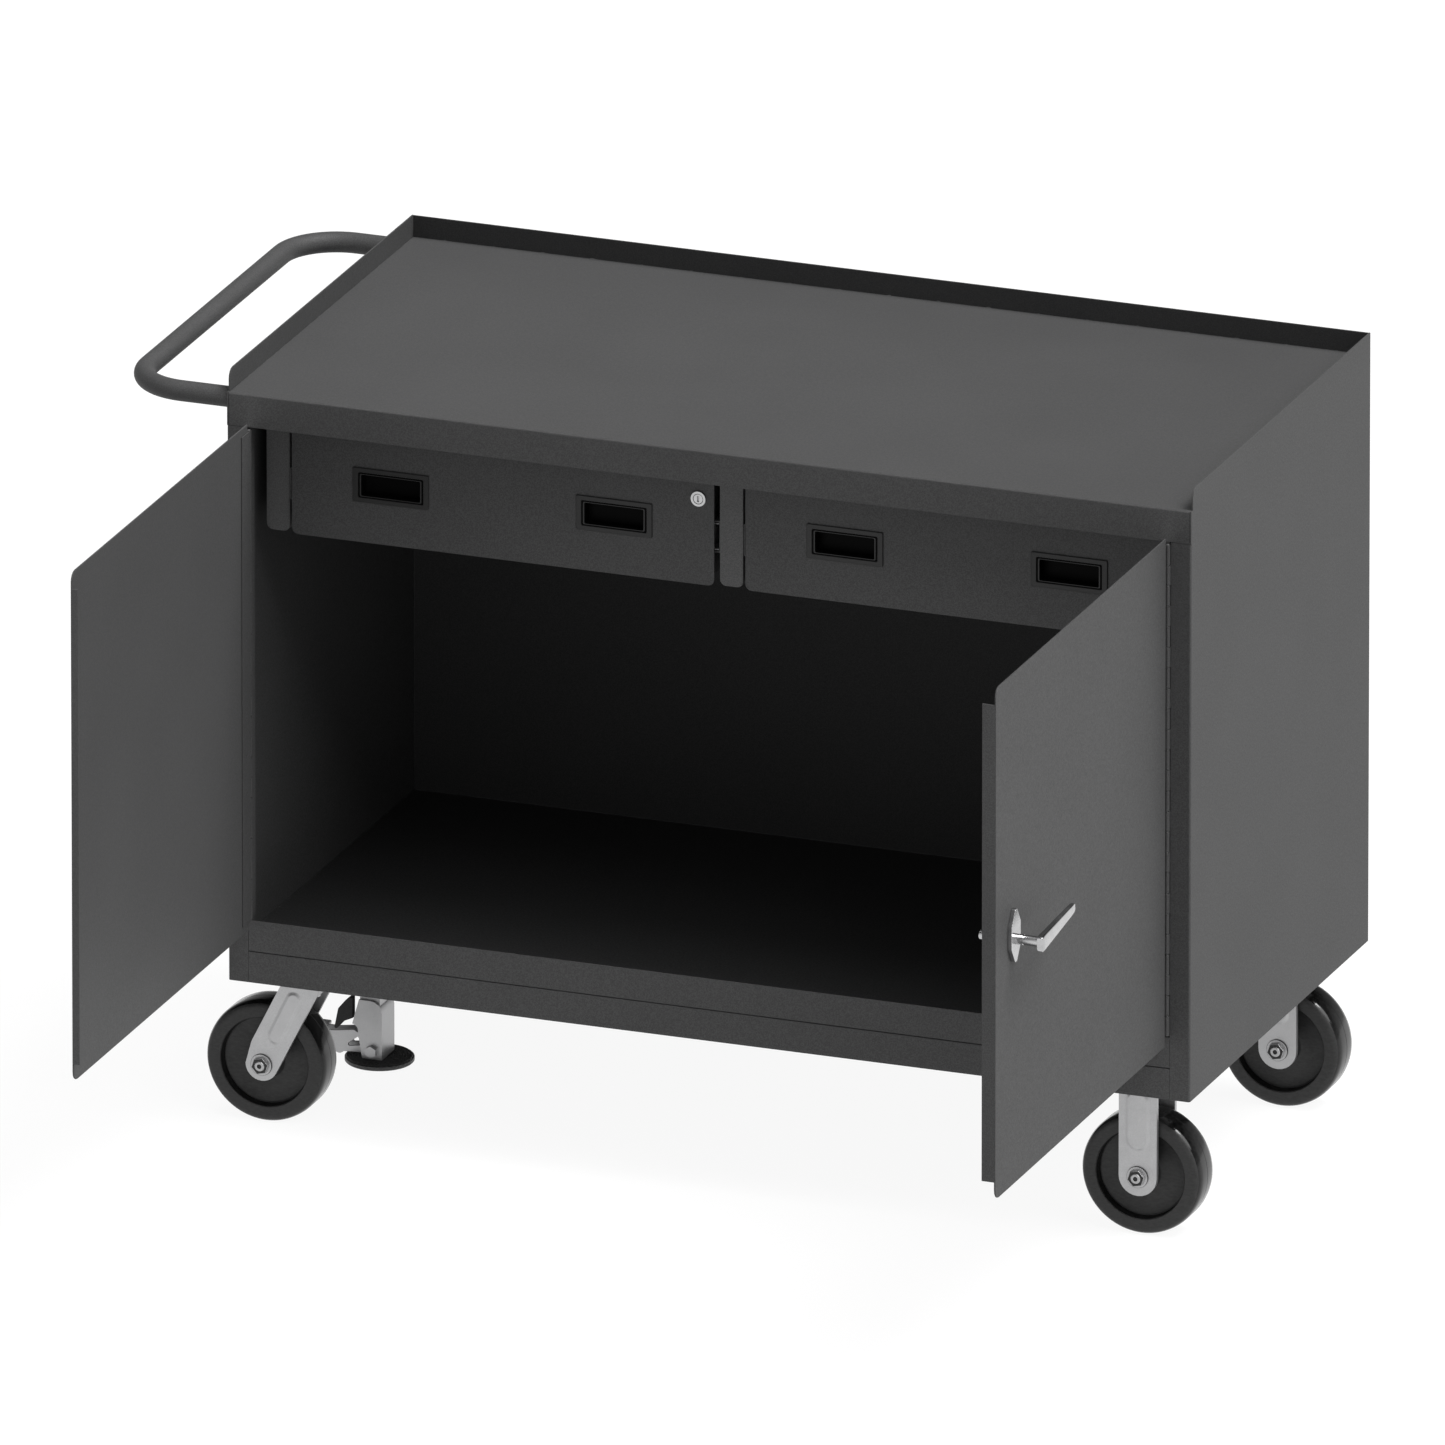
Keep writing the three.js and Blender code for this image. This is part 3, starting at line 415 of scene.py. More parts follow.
def tube(bm, path, radius, sides=32):
    """A round bar along a path of points."""
    points = [Vector(p) for p in path]
    rings, up = [], Vector((0, 0, 1))
    for i, point in enumerate(points):
        ahead = points[min(i + 1, len(points) - 1)] - points[max(i - 1, 0)]
        ahead.normalize()
        aside = ahead.cross(up).normalized() if abs(ahead.dot(up)) < 0.99 else Vector((1, 0, 0))
        lift = aside.cross(ahead)
        turns = [2 * math.pi * k / sides for k in range(sides)]
        rings.append([point + radius * (math.cos(t) * aside + math.sin(t) * lift) for t in turns])
    return loft(bm, rings)


def own_mesh(obj):
    """Turns what the modifiers make into the piece's own plain mesh."""
    graph = bpy.context.evaluated_depsgraph_get()
    mesh = bpy.data.meshes.new_from_object(obj.evaluated_get(graph))
    obj.modifiers.clear()
    obj.data = mesh
    return obj


def soften(obj, width, segments=2, angle=28):
    """Rounds every edge sharper than `angle` degrees by `width` millimetres, then makes it plain mesh."""
    for polygon in obj.data.polygons:
        polygon.use_smooth = True
    bevel = obj.modifiers.new("edges", "BEVEL")
    bevel.width, bevel.segments = width * MM, segments
    bevel.limit_method, bevel.angle_limit = "ANGLE", math.radians(angle)
    bevel.use_clamp_overlap = True
    own_mesh(obj)
    obj.data.set_sharp_from_angle(angle=math.radians(50))
    flat = obj.modifiers.new("flat_faces", "WEIGHTED_NORMAL")
    flat.weight, flat.keep_sharp = 100, True
    return own_mesh(obj)


def finish_piece(name, bm, body, material, nodes=(), edge=0.5, segments=2, angle=28):
    """Closes a bmesh drawn in millimetres into an object in metres, at the origin, on its body."""
    bmesh.ops.scale(bm, vec=(MM, MM, MM), verts=bm.verts)
    bmesh.ops.remove_doubles(bm, verts=bm.verts, dist=0.002 * MM)
    bmesh.ops.recalc_face_normals(bm, faces=bm.faces)
    mesh = bpy.data.meshes.new(name)
    bm.to_mesh(mesh)
    bm.free()
    obj = bpy.data.objects.new(name, mesh)
    bpy.context.scene.collection.objects.link(obj)
    mesh.materials.append(material)
    if edge:
        soften(obj, edge, segments, angle)
    else:
        mesh.polygons.foreach_set("use_smooth", [True] * len(mesh.polygons))
        mesh.set_sharp_from_angle(angle=math.radians(angle))
    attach(obj, body)
    if nodes:
        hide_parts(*nodes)
    return obj


def span(node):
    """A node's lowest and highest corners in millimetres."""
    return [Vector(corner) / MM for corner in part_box(node)]


def middle(node):
    low, high = span(node)
    return (low + high) / 2


# %% [markdown]
# ## Folded sheet
# The cabinet is sheet steel, cut, folded and welded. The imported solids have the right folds, but their
# edges are knife sharp, and no painted edge is: powder pulls back from a corner and leaves it rounded.
# Each sheet is copied, its loose triangles are joined into clean faces, and its edges are softened.

# %% Softened sheets
def crisp(node, material, edge=0.45, segments=2):
    """A copy of a CAD node with joined faces and softened edges, which stands for it."""
    source = frame["nodes"][node]
    bm = bmesh.new()
    bm.from_mesh(source.data)
    bmesh.ops.remove_doubles(bm, verts=bm.verts, dist=0.01 * MM)
    bmesh.ops.dissolve_limit(bm, angle_limit=math.radians(0.6), verts=bm.verts, edges=bm.edges)
    bmesh.ops.scale(bm, vec=(1 / MM,) * 3, verts=bm.verts)
    return finish_piece(node + "_sheet", bm, source["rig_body"], material, [node], edge, segments)


SHELL = ["worktop", "left_side_panel", "right_side_panel", "back_panel", "floor_pan", "door_sill_rail",
         "right_door"]
DRAWERS = ["left_drawer", "right_drawer", "left_door"]
HANGERS = ["left_drawer_hanger", "centre_drawer_hanger", "right_drawer_hanger"]
INNER = ["left_caster_channel", "right_caster_channel", "drawer_lock_strike"]
PLATED = ["left_drawer_left_runner", "left_drawer_right_runner", "right_drawer_left_runner",
          "right_drawer_right_runner", "latch_cam", "upper_lock_rod", "lower_lock_rod",
          "upper_rod_guide", "lower_rod_guide", "floor_lock_housing", "floor_lock_clevis"]
# The hanger and drawer coats, which the left door also takes, are painted light; the inner coat on the caster
# channels and the lock strike is painted shade.
SHEETS = {shell_paint: SHELL, drawer_painted_light: DRAWERS, hanger_painted_light: HANGERS, inner_paint: INNER,
          zinc_plate: PLATED}
sheets = {node: crisp(node, material) for material, names in SHEETS.items() for node in names}


def shade_inside(obj, low, high):
    """Faces that look into the cabinet take the darker copy of the powder, as painted shade."""
    obj.data.materials.append(inner_paint)
    for polygon in obj.data.polygons:
        place = polygon.center / MM
        polygon.material_index = int(all(a < value < b for a, value, b in zip(low, place, high)))


inside_low = span("floor_pan")[0] + Vector((3, 6.5, 0))
inside_low.z = span("door_sill_rail")[0].z - 1.5
inside_high = span("worktop")[1] - Vector((3, -1, 40))
for node in ("back_panel", "floor_pan"):
    shade_inside(sheets[node], inside_low, inside_high)
print("softened sheets", len(sheets))

# %% [markdown]
# ## What repeats
# Hinge knuckles, weld beads, spot welds and bolt heads repeat, so Geometry Nodes place them. Each
# tree is built here with named inputs. It ends in Realize Instances and Set Material, and the result is
# turned into a plain mesh, so that nothing is left to compute later.

# %% Helpers for node trees
def new_tree(name, inputs):
    """A geometry tree with the given (name, kind, value) inputs, and its input and output nodes."""
    tree = bpy.data.node_groups.new(name, "GeometryNodeTree")
    tree.interface.new_socket("Geometry", in_out="INPUT", socket_type="NodeSocketGeometry")
    for label, kind, value in inputs:
        socket = tree.interface.new_socket(label, in_out="INPUT", socket_type="NodeSocket" + kind)
        if value is not None:
            socket.default_value = value
    tree.interface.new_socket("Finish", in_out="INPUT", socket_type="NodeSocketMaterial")
    tree.interface.new_socket("Geometry", in_out="OUTPUT", socket_type="NodeSocketGeometry")
    return tree, tree.nodes.new("NodeGroupInput"), tree.nodes.new("NodeGroupOutput")


def add_node(tree, kind, links=(), **settings):
    """Adds a node, sets its properties, and links (input, output socket) pairs into it."""
    node = tree.nodes.new("GeometryNode" + kind if not kind.startswith(("Shader", "Function")) else kind)
    for key, value in settings.items():
        setattr(node, key, value)
    for where, source in links:
        tree.links.new(source, node.inputs[where])
    return node


def place_copies(tree, given, end, points, instance, size=None, turn=None):
    """Copies `instance` on `points`, makes the copies real, and gives them their finish."""
    spread = add_node(tree, "InstanceOnPoints", [("Points", points), ("Instance", instance)])
    for where, source in (("Scale", size), ("Rotation", turn)):
        if source is not None:
            tree.links.new(source, spread.inputs[where])
    real = add_node(tree, "RealizeInstances", [(0, spread.outputs[0])])
    smooth = add_node(tree, "SetShadeSmooth", [(0, real.outputs[0])])
    painted = add_node(tree, "SetMaterial", [(0, smooth.outputs[0]), ("Material", given.outputs["Finish"])])
    tree.links.new(painted.outputs[0], end.inputs[0])


def run_tree(obj, tree, **inputs):
    """Puts a tree on an object, sets its inputs by socket identifier, and keeps the result as plain mesh."""
    modifier = obj.modifiers.new("copies", "NODES")
    modifier.node_group = tree
    named = {item.name: item.identifier for item in tree.interface.items_tree if item.in_out == "INPUT"}
    for label, value in inputs.items():
        modifier[named[label.replace("_", " ")]] = value
    return own_mesh(obj)


def repeated(name, bm, tree, body, material, nodes=(), **inputs):
    """One shape (or a set of points) drawn in millimetres, repeated by a tree, and riding on a body."""
    bmesh.ops.scale(bm, vec=(MM, MM, MM), verts=bm.verts)
    if bm.faces:
        bmesh.ops.recalc_face_normals(bm, faces=bm.faces)
    mesh = bpy.data.meshes.new(name)
    bm.to_mesh(mesh)
    bm.free()
    obj = bpy.data.objects.new(name, mesh)
    bpy.context.scene.collection.objects.link(obj)
    run_tree(obj, tree, Finish=material, **inputs)
    obj.data.set_sharp_from_angle(angle=math.radians(32))
    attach(obj, body)
    if nodes:
        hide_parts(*nodes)
    return obj


def points_at(places):
    bm = bmesh.new()
    for place in places:
        bm.verts.new(place)
    return bm


# %% [markdown]
# The first tree makes a straight row of whatever shape it is given. The second puts a flattened bead on
# every point, each of a slightly different size, as a hand-held torch leaves them. The third sets
# a bolt head with its washer and shank on every point.

# %% A straight row
def row_tree():
    tree, given, end = new_tree("straight_row", [("First", "Vector", None), ("Step", "Vector", None),
                                                 ("Count", "Int", 2)])
    line = add_node(tree, "MeshLine", [("Count", given.outputs["Count"]),
                                       ("Start Location", given.outputs["First"]),
                                       ("Offset", given.outputs["Step"])], mode="OFFSET")
    place_copies(tree, given, end, line.outputs[0], given.outputs["Geometry"])
    return tree


straight_row = row_tree()


# %% Weld beads on points
def bead_tree():
    tree, given, end = new_tree("weld_beads", [("Half size", "Vector", None), ("Spread", "Float", 0.25),
                                               ("Seed", "Int", 7)])
    ball = add_node(tree, "MeshUVSphere")
    ball.inputs["Segments"].default_value, ball.inputs["Rings"].default_value = 10, 6
    ball.inputs["Radius"].default_value = 1
    shaped = add_node(tree, "Transform", [("Geometry", ball.outputs[0]),
                                          ("Scale", given.outputs["Half size"])])
    least = add_node(tree, "ShaderNodeMath", operation="SUBTRACT")
    least.inputs[0].default_value = 1
    tree.links.new(given.outputs["Spread"], least.inputs[1])
    size = add_node(tree, "FunctionNodeRandomValue", [("Seed", given.outputs["Seed"])])
    tree.links.new(least.outputs[0], size.inputs[2])
    size.inputs[3].default_value = 1
    points = add_node(tree, "MeshToPoints", [(0, given.outputs["Geometry"])])
    place_copies(tree, given, end, points.outputs[0], shaped.outputs[0], size=size.outputs[1])
    return tree


weld_beads = bead_tree()


# %% Bolt heads on points
def bolt_tree():
    tree, given, end = new_tree("bolt_heads", [("Head", "Float", 0.006), ("Height", "Float", 0.005),
                                               ("Washer", "Float", 0.008), ("Shank", "Float", 0.003)])
    parts = []
    drums = ((6, "Head", 0.0012, None), (24, "Washer", 0, 0.0012), (16, "Shank", 0, 0.009))
    for sides, radius, low, tall in drums:
        drum = add_node(tree, "MeshCylinder", [("Radius", given.outputs[radius])])
        drum.inputs["Vertices"].default_value = sides
        if tall is None:
            tree.links.new(given.outputs["Height"], drum.inputs["Depth"])
            lift = add_node(tree, "ShaderNodeMath", [(0, given.outputs["Height"])], operation="MULTIPLY_ADD")
            lift.inputs[1].default_value, lift.inputs[2].default_value = -0.5, -low
        else:
            drum.inputs["Depth"].default_value = tall
            lift = add_node(tree, "ShaderNodeMath", operation="ADD")
            lift.inputs[0].default_value, lift.inputs[1].default_value = -tall / 2, 0
        offset = add_node(tree, "ShaderNodeCombineXYZ", [("Z", lift.outputs[0])])
        parts.append(add_node(tree, "Transform", [("Geometry", drum.outputs[0]),
                                                  ("Translation", offset.outputs[0])]))
    joined = add_node(tree, "JoinGeometry")
    for part in parts:
        tree.links.new(part.outputs[0], joined.inputs[0])
    points = add_node(tree, "MeshToPoints", [(0, given.outputs["Geometry"])])
    place_copies(tree, given, end, points.outputs[0], joined.outputs[0])
    return tree


bolt_heads = bolt_tree()
print("trees", len(bpy.data.node_groups))

# %% [markdown]
# ## Push handle
# A steel tube bent twice and welded to the left side sheet. It is swept along its centre line, with enough
# steps in each bend to look round from any side. A bead of weld runs round each end.

# %% Push handle
def bend(centre, radius, start, stop, level, steps=18):
    turns = [math.radians(start + (stop - start) * k / steps) for k in range(steps + 1)]
    return [(centre[0] + radius * math.cos(t), centre[1] + radius * math.sin(t), level) for t in turns]


def push_handle(bend_radius=70):
    low, high = span("push_handle")
    tube_radius = (high.z - low.z) / 2
    level, bar_x, root = low.z + tube_radius, low.x + tube_radius, high.x
    front, back = low.y + tube_radius, high.y - tube_radius
    turn_x = bar_x + bend_radius
    path = [(root, front, level)] + bend((turn_x, front + bend_radius), bend_radius, 270, 180, level)
    path += bend((turn_x, back - bend_radius), bend_radius, 180, 90, level) + [(root, back, level)]
    bm = bmesh.new()
    tube(bm, path, tube_radius, sides=48)
    finish_piece("push_handle_tube", bm, "frame", shell_paint, ["push_handle"], edge=0, angle=40)
    beads = []
    for y in (front, back):
        for k in range(30):
            t = 2 * math.pi * k / 30
            reach = tube_radius + 0.6
            beads.append((root - 0.9, y + reach * math.cos(t), level + reach * math.sin(t)))
    repeated("push_handle_welds", points_at(beads), weld_beads, "frame", shell_paint,
             Half_size=(0.0014, 0.0022, 0.0022), Spread=0.2, Seed=3)


push_handle()

# %% [markdown]
# ## Hinges
# Each door hangs on a continuous hinge: two thin leaves rolled round one pin in turn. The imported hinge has
# a few long knuckles that carry the load; here the real pitch of the rolls is shown. One knuckle with its
# tab is modelled and a straight row repeats it, every other one on the door's leaf.

# %% Hinges
def hinge_leaf(label, owner, way, parity, knuckles=24, barrel=2.9, gauge=1.4):
    node = f"{label}_hinge_{owner}_leaf"
    low, high = span(node)
    pin = middle(f"{label}_hinge_pin")
    body = "frame" if owner == "frame" else f"{label}_door"
    pitch = (high.z - low.z) / knuckles
    side = -way if owner == "frame" else way
    outer, inner = pin.x + side * (barrel + 0.1), pin.x + side * (barrel + 0.1 - gauge)
    edge_y = high.y if owner == "frame" else low.y
    near_y = pin.y + (3.4 if owner == "frame" else -3.4)
    plate = bmesh.new()
    block(plate, (min(outer, inner), min(edge_y, near_y), low.z),
          (max(outer, inner), max(edge_y, near_y), high.z))
    finish_piece(node + "_plate", plate, body, shell_paint, [node], edge=0.3)
    knuckle = bmesh.new()
    half = pitch / 2 - 0.35
    turned(knuckle, [(0, -half), (barrel - 0.4, -half), (barrel, -half + 0.4), (barrel, half - 0.4),
                     (barrel - 0.4, half), (0, half)], "z", (0, 0), 20)
    block(knuckle, (min(outer, inner) - pin.x, min(0, near_y - pin.y), -half),
          (max(outer, inner) - pin.x, max(0, near_y - pin.y), half))
    repeated(node + "_knuckles", knuckle, straight_row, body, shell_paint,
             First=(pin.x * MM, pin.y * MM, (low.z + pitch * (0.5 + parity)) * MM),
             Step=(0.0, 0.0, 2 * pitch * MM), Count=knuckles // 2)
    face = inner if owner == "frame" else outer
    toward = side if owner == "door" else -side
    spots = [(face + toward * 0.05, (edge_y + near_y) / 2, low.z + 20 + k * 48) for k in range(13)]
    repeated(node + "_spot_welds", points_at(spots), weld_beads, body, shell_paint,
             Half_size=(0.0004, 0.0026, 0.0026), Spread=0.15, Seed=11)


for label, way in (("left", 1), ("right", -1)):
    hinge_leaf(label, "frame", way, 0)
    hinge_leaf(label, "door", way, 1)
print("hinges made")

# %% [markdown]
# ## Drawer pulls
# A cup pull is moulded in one piece: a flange that covers the hole in the drawer front, a stepped rim, and
# a pocket deep enough for finger tips. Rings of the same rounded rectangle, each a little smaller, deeper
# or prouder than the last, are lofted into the whole closed shape.

# %% Drawer pulls
def cup_pull(node, body):
    low, high = span(node)
    centre, front, deep = (low + high) / 2, low.y, high.y
    wide, tall = (high.x - low.x) / 2, (high.z - low.z) / 2
    cup_wide, cup_tall = wide - 11.25, tall - 8.75
    back = front + 1.6
    steps = [
        (cup_wide, cup_tall, deep), (cup_wide + 1.2, cup_tall + 1.2, deep - 1.2),
        (cup_wide + 1.2, cup_tall + 1.2, back), (wide, tall, back), (wide, tall, front + 0.8),
        (wide - 0.7, tall - 0.7, front), (cup_wide + 4.6, cup_tall + 3.1, front),
        (cup_wide + 4.2, cup_tall + 2.7, front + 0.9), (cup_wide + 2.4, cup_tall + 1.5, front + 0.9),
        (cup_wide + 2.0, cup_tall + 1.1, front + 0.2), (cup_wide + 0.4, cup_tall + 0.3, front + 0.2),
        (cup_wide, cup_tall, front + 0.8), (cup_wide - 0.5, cup_tall - 0.5, deep - 2.2),
        (cup_wide - 1.4, cup_tall - 1.4, deep - 1.2),
    ]
    bm = bmesh.new()
    loft(bm, [[(centre.x + p.x, level, centre.z + p.y) for p in rectangle((-w, -t), (w, t), 1.8)]
              for w, t, level in steps])
    pull = finish_piece(node + "_moulding", bm, body, pull_black, [node], edge=0, angle=30)
    # Faces down in the pocket and in the groove round it take the near-black copy, as painted shade.
    pull.data.materials.append(pull_pocket_shade)
    for polygon in pull.data.polygons:
        x, y, z = (value / MM for value in polygon.center)
        pocket_shade = y > front + 1.2 and abs(x - centre.x) < cup_wide and abs(z - centre.z) < cup_tall
        groove = front + 0.5 < y < front + 0.95 and abs(x - centre.x) < wide - 1
        polygon.material_index = 1 if pocket_shade or groove else 0


for drawer in ("left", "right"):
    for hand in ("left", "right"):
        cup_pull(f"{drawer}_drawer_{hand}_pull", f"{drawer}_drawer")
print("pulls made")

# %% [markdown]
# ## Lock, lever and escutcheon
# These are the only bright parts on the front. The lock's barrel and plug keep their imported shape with
# polished edges. The lever is cast, so it is lofted through rounded sections that shrink from root to tip.

# %% Lock and escutcheon
def polished(node, edge, segments=3):
    return crisp(node, bright_chrome, edge, segments)


polished("drawer_lock_barrel", 0.5)
polished("drawer_lock_plug", 0.25)
polished("handle_escutcheon", 1.3, 4)


# %% Lever
def rounded_section(half_wide, half_tall, power=3.2, count=28):
    """A section between a circle and a rectangle."""
    points = []
    for k in range(count):
        t = 2 * math.pi * k / count
        c, s = math.cos(t), math.sin(t)
        points.append((half_wide * math.copysign(abs(c) ** (2 / power), c),
                       half_tall * math.copysign(abs(s) ** (2 / power), s)))
    return points


def lever(length=99, rise=5.3, root=10, tip=6, thick=4.5):
    low, high = span("lever_handle")
    axis = Vector((high.x - thick, low.y + root, low.z + root))
    along = Vector((0, math.cos(math.radians(rise)), math.sin(math.radians(rise))))
    aside = Vector((0, -along.z, along.y))
    rings = []
    for share, size in ((-0.088, 0.1), (-0.086, 0.82), (-0.07, 0.97), (0, 1), (0.2, 1), (0.45, 1), (0.7, 1),
                        (0.9, 1), (0.985, 0.98), (1.04, 0.9), (1.058, 0.7), (1.06, 0.1)):
        tall = (root + (tip - root) * max(0, share)) * size
        wide = thick * (1 - 0.22 * max(0, share)) * size
        centre = axis + along * length * share
        rings.append([centre + Vector((px, 0, 0)) + aside * pz for px, pz in rounded_section(wide, tall, 5)])
    bm = bmesh.new()
    loft(bm, rings)
    neck = high.x - 2 * thick
    turned(bm, [(0, low.x), (4.9, low.x), (5.5, low.x + 0.6), (5.5, neck - 29), (6.4, neck - 28.4),
                (6.4, neck - 19), (5.6, neck - 18.6), (5.6, neck - 17.8), (6.2, neck - 17.4), (6.2, neck + 1),
                (0, neck + 1)],
           "x", (axis.y, axis.z), 40)
    finish_piece("lever_casting", bm, "lever", bright_chrome, ["lever_handle"], edge=0, angle=38)


lever()
print("lock, lever and escutcheon made")

# %% [markdown]
# ## Wheels
# The tread, the recessed web and the hub are one turned profile. Its corners have small radii, as a mould
# needs, and a fine groove marks where the two halves of the mould meet. The tread is polished by rolling,
# so it takes a blacker, glossier finish than the faces.

# %% Wheels
def polished_tread():
    material, tree, shader, place = start_finish("tread_black_and_recess_shade", 0.2, specular=0.35)
    scuff = noise(tree, place, 5, detail=4)
    tone = mottle(tree, scuff, (0.003, 0.003, 0.003), (0.007, 0.007, 0.007))
    tree.links.new(tone, shader.inputs["Base Color"])
    varied_roughness(tree, shader, scuff, 0.12, 0.2)
    return material


tread_black_and_recess_shade = polished_tread()


def wheel(node, body):
    low, high = span(node)
    centre = (low + high) / 2
    radius, hub = (high.z - low.z) / 2, (high.y - low.y) / 2
    face = hub - 2
    half = [(7, hub), (18.8, hub), (20, hub - 1.2), (21, 13.4), (23.4, 11.4), (52.6, 11.4), (54.8, 13),
            (55.8, face - 1.2), (56.8, face), (67, face), (70.4, face - 0.6), (73.2, face - 2.6),
            (75.2, face - 6.2), (radius, face - 12), (radius, 0.6), (radius - 0.5, 0.3)]
    profile = [(r, centre.y + y) for r, y in half] + [(r, centre.y - y) for r, y in reversed(half)]
    bm = bmesh.new()
    turned(bm, profile + [profile[0]], "y", (centre.x, centre.z), 96)
    obj = finish_piece(node + "_moulding", bm, body, phenolic, [node], edge=0, angle=50)
    # The tread takes the blacker, glossier finish; the wall of each face recess takes it too, as painted
    # shade.
    obj.data.materials.append(tread_black_and_recess_shade)
    for polygon in obj.data.polygons:
        out = Vector((polygon.center.x / MM - centre.x, polygon.center.z / MM - centre.z)).length
        inside = abs(out - 55.4) < 0.6 and abs(polygon.center.y / MM - centre.y) > 13
        polygon.material_index = 1 if out > 73.4 or inside else 0


CASTERS = ("front", "rear")
for row in CASTERS:
    wheel(f"{row}_swivel_wheel", f"{row}_swivel_wheel")
    wheel(f"{row}_rigid_wheel", f"{row}_rigid_wheel")
print("wheels made")

# %% [markdown]
# ## Forks
# A caster fork is pressed from thick strip: a crown bent down into two legs, with a raised rib pressed into
# each leg to stiffen it. The swivel fork trails behind its pivot and narrows to a foot round the axle; the
# rigid one hangs straight. Leg, crown and ribs are drawn in one mesh and softened together.

# %% Forks
def arc(centre, radius, start, stop, steps=14):
    turns = [math.radians(start + (stop - start) * k / steps) for k in range(steps + 1)]
    return [Vector((centre[0] + radius * math.cos(t), centre[1] + radius * math.sin(t))) for t in turns]


def crown(bm, centre, half_x, side, inside, top, under, drop):
    """The bent top of a fork, as a section across x."""
    y = centre.y
    shape = outline([(y - side, drop), (y - side, top, 3.5), (y + side, top, 3.5), (y + side, drop),
                     (y + inside, drop), (y + inside, under, 3), (y - inside, under, 3), (y - inside, drop)])
    slab(bm, shape, "x", centre.x - half_x, centre.x + half_x)


def pressed_rib(bm, ends, half, centre, side, height=2.4):
    """A long pad with round ends raised from the outside of both legs, on a slope a few millimetres wide."""
    start, stop = (Vector(end) for end in ends)
    along = (stop - start).normalized()
    heading = math.degrees(math.atan2(along.y, along.x))
    for way in (-1, 1):
        rings = []
        for inset, lift in ((0, -0.6), (0.4, 0.02), (2, 0.25), (3.6, 0.8), (5, 1.0)):
            ring = arc(stop, half - inset, heading - 90, heading + 90, 12)
            ring += arc(start, half - inset, heading + 90, heading + 270, 12)
            rings.append([(p.x, centre.y + way * (side + lift * height), p.y) for p in ring])
        loft(bm, rings)


def legs(bm, points, centre, side, inside):
    for way in (-1, 1):
        slab(bm, points, "y", *sorted((centre.y + way * inside, centre.y + way * side)))


def swivel_fork(row):
    node = f"{row}_swivel_fork"
    plate, hub = middle(f"{row}_swivel_plate"), middle(f"{row}_swivel_wheel")
    low, high = span(node)
    side, inside = 34, 28
    top = high.z - 6.1
    under = top - 6
    race = [(0, top), (34, top), (36, high.z - 4.4), (36, high.z - 2), (33, high.z), (0, high.z)]
    lean = math.degrees(math.atan2(plate.x - hub.x, top - hub.z))
    foot = (hub.x, hub.z)
    crest = top - 0.6
    shape = [Vector((plate.x - 25, crest)), Vector((plate.x + 25, crest))] + arc(foot, 20.5, -lean, -180)
    shape += outline([(hub.x - 20.5, hub.z), (hub.x - 13, hub.z + 28, 30), (plate.x - 25, crest)], 6)[1:-1]
    bm = bmesh.new()
    legs(bm, shape, plate, side, inside)
    crown(bm, plate, 24.4, side - 0.5, inside + 0.5, top, under, under - 2)
    turned(bm, race, "z", (plate.x, plate.y), 56)
    slope = Vector((hub.x - plate.x, hub.z - top)).normalized()
    start, stop = Vector((plate.x, top)) + slope * 18, Vector(foot) - slope * 42
    pressed_rib(bm, (start, stop), 11, plate, side, height=2.0)
    finish_piece(node + "_pressing", bm, f"{row}_swivel", zinc_plate, [node], edge=1.0, segments=3, angle=25)


def rigid_fork(row):
    node = f"{row}_rigid_fork"
    hub = middle(f"{row}_rigid_wheel")
    low, high = span(node)
    side, inside, half = 34, 28, 24
    shape = [Vector((hub.x + half, high.z - 5.6)), Vector((hub.x - half, high.z - 5.6))]
    shape += arc((hub.x, hub.z), half, 180, 360)
    bm = bmesh.new()
    legs(bm, shape, hub, side, inside)
    crown(bm, hub, half - 0.6, side - 0.5, inside + 0.5, high.z - 5.4, high.z - 9.5, high.z - 12)
    slab(bm, rectangle((hub.x - 52, hub.y - 46), (hub.x + 52, hub.y + 46), 7), "z", high.z - 5.7, high.z)
    pressed_rib(bm, ((hub.x, high.z - 26), (hub.x, hub.z + 48)), 16, hub, side)
    finish_piece(node + "_pressing", bm, "frame", zinc_plate, [node], edge=1.0, segments=3, angle=25)


# %% Plates, axles and their bolts
def swivel_plate(row):
    node = f"{row}_swivel_plate"
    centre = middle(node)
    low, high = span(node)
    under = high.z - 5.7
    bm = bmesh.new()
    slab(bm, rectangle((low.x, low.y), (high.x, high.y), 7), "z", under, high.z)
    race = [(0, under - 6.1), (35, under - 6.1), (38, under - 3.6), (38, under - 1.5), (36.5, under),
            (0, under)]
    turned(bm, race, "z", (centre.x, centre.y), 56)
    kingpin = [(0, low.z), (10.5, low.z), (12, low.z + 1.2), (12, low.z + 4), (7, low.z + 4), (7, under),
               (0, under)]
    turned(bm, kingpin, "z", (centre.x, centre.y), 32)
    finish_piece(node + "_pressing", bm, "frame", zinc_plate, [node], edge=0.8, segments=2)


